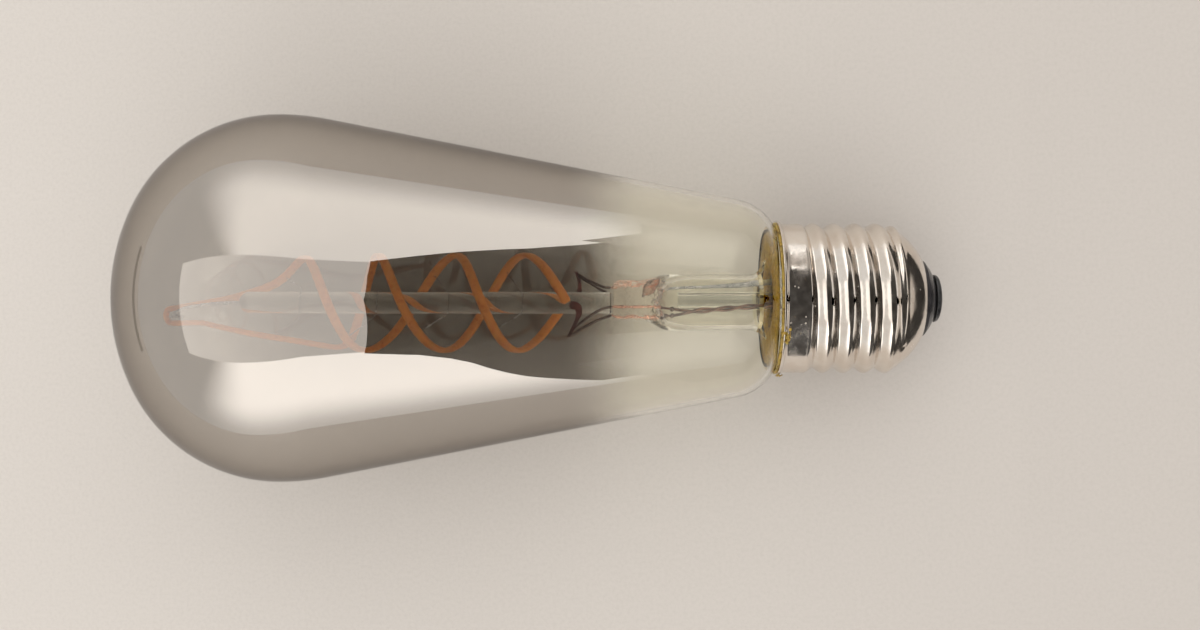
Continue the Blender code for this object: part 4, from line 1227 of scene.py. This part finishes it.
# A black card over the cap's side that only mirrors see, as (x, y) at its height
CARD_HEIGHT = 0.15
CARD_OUTLINE = (
    (0.027, 0.050), (0.035, 0.059), (0.052, 0.079), (0.077, 0.108), (0.100, 0.143), (0.140, 0.215),
    (0.300, 0.700), (0.900, 0.700), (0.900, -1.349), (0.470, -1.349), (0.198, -0.539),
    (0.126, -0.327), (0.089, -0.214), (0.067, -0.147), (0.057, -0.123), (0.045, -0.102),
    (0.029, -0.086), (0.0264, -0.045), (0.0240, -0.004), (0.0252, 0.028),
)
# Smaller upright cards about the cap, as (corner, corner, low z, high z, grey)
UPRIGHT_CARDS = {
    "card_minus_y": ((0.054, -0.10), (0.16, -0.10), 0.006, 0.085, 0.03),
    "card_plus_y": ((0.066, 0.10), (0.18, 0.10), 0.030, 0.105, 0.30),
    "card_end": ((0.085, -0.045), (0.085, 0.045), 0.002, 0.019, 0.03),
    "card_crown": ((-0.40, -0.11), (-0.40, 0.11), 0.012, 0.032, 0.30),
}


def make_light():
    world = bpy.data.worlds.new("studio")
    bpy.context.scene.world = world
    world.use_nodes = True
    n = Nodes(world.node_tree)
    split = n.add("ShaderNodeSeparateXYZ")
    n.feed(split.inputs[0], n.add("ShaderNodeTexCoord").outputs["Generated"])
    x, y, z = split.outputs
    up = n.math("MAXIMUM", z, 0.01)
    over_x = n.math("DIVIDE", x, up)
    over_y = n.math("DIVIDE", y, up)
    other_y = n.math("MULTIPLY", over_y, -1.0)
    plus = n.step(over_y, CEILING_PLUS_Y - EDGE_SOFTNESS, CEILING_PLUS_Y + EDGE_SOFTNESS)
    minus = n.step(other_y, CEILING_MINUS_Y - EDGE_SOFTNESS, CEILING_MINUS_Y + EDGE_SOFTNESS)
    sideways = n.math("DIVIDE", x, n.math("MAXIMUM", n.math("ABSOLUTE", y), 0.05))
    inside = n.math("MULTIPLY", n.step(sideways, *SIDE_END), n.step(z, *SIDE_FOOT_Z, SIDE_FOOT, 1.0))
    glow_plus = n.math("MULTIPLY_ADD", inside, SIDE_PLUS_Y - ROOM, ROOM)
    glow_minus = n.math("MULTIPLY_ADD", inside, SIDE_MINUS_Y - ROOM, ROOM)
    away = n.step(over_x, CEILING_END_X - FAR_EDGE_SOFTNESS, CEILING_END_X + FAR_EDGE_SOFTNESS)
    brighter = n.math("MULTIPLY_ADD", over_x, CEILING_SLOPE, CEILING)
    middle = n.math("ADD", n.math("MULTIPLY", away, brighter),
                    n.math("MULTIPLY", n.math("SUBTRACT", 1.0, away), ROOM))
    between = n.math("SUBTRACT", 1.0, n.math("ADD", plus, minus), clamp=True)
    strength = n.math("MULTIPLY", middle, between)
    strength = n.math("MULTIPLY_ADD", plus, glow_plus, strength)
    strength = n.math("MULTIPLY_ADD", minus, glow_minus, strength)
    background = n.add("ShaderNodeBackground")
    background.inputs["Color"].default_value = LIGHT_COLOUR
    n.feed(background.inputs["Strength"], strength)
    end = n.add("ShaderNodeOutputWorld")
    world.node_tree.links.new(background.outputs[0], end.inputs["Surface"])


def make_card(name, corners, grey):
    """A card that only mirrors see."""
    made, n = new_material(name)
    n.output(n.principled(Base_Color=(grey, 0.95 * grey, 0.9 * grey, 1.0), Roughness=0.9))
    bm = bmesh.new()
    bm.faces.new([bm.verts.new(corner) for corner in corners])
    card = new_object(name, bm, (made,))
    card.visible_camera = False
    card.visible_diffuse = False
    card.visible_transmission = False
    card.visible_shadow = False


def make_cards():
    make_card("black_card", [(x, y, CARD_HEIGHT) for x, y in CARD_OUTLINE], 0.02)
    for name, (first, second, low, high, grey) in UPRIGHT_CARDS.items():
        corners = [(*first, low), (*second, low), (*second, high), (*first, high)]
        make_card(name, corners, grey)


def dress_frame():
    """CAD nodes that stay in view get their slot's finish."""
    for part in frame["record"]["subparts"]:
        mesh = frame["nodes"][part["node"]].data
        mesh.materials.clear()
        mesh.materials.append(FINISH[part["material_slot"]])


make_camera()
make_light()
make_cards()
make_floor()
dress_frame()
make_bulb()
make_cap()
make_contact_end()
make_cement()
make_stem()
make_blow_hole()
make_exhaust_tube()
make_post()
make_filament()
make_anchors()
make_leads()
make_outer_leads()
make_end_strips()

bpy.context.scene.view_settings.view_transform = "Standard"
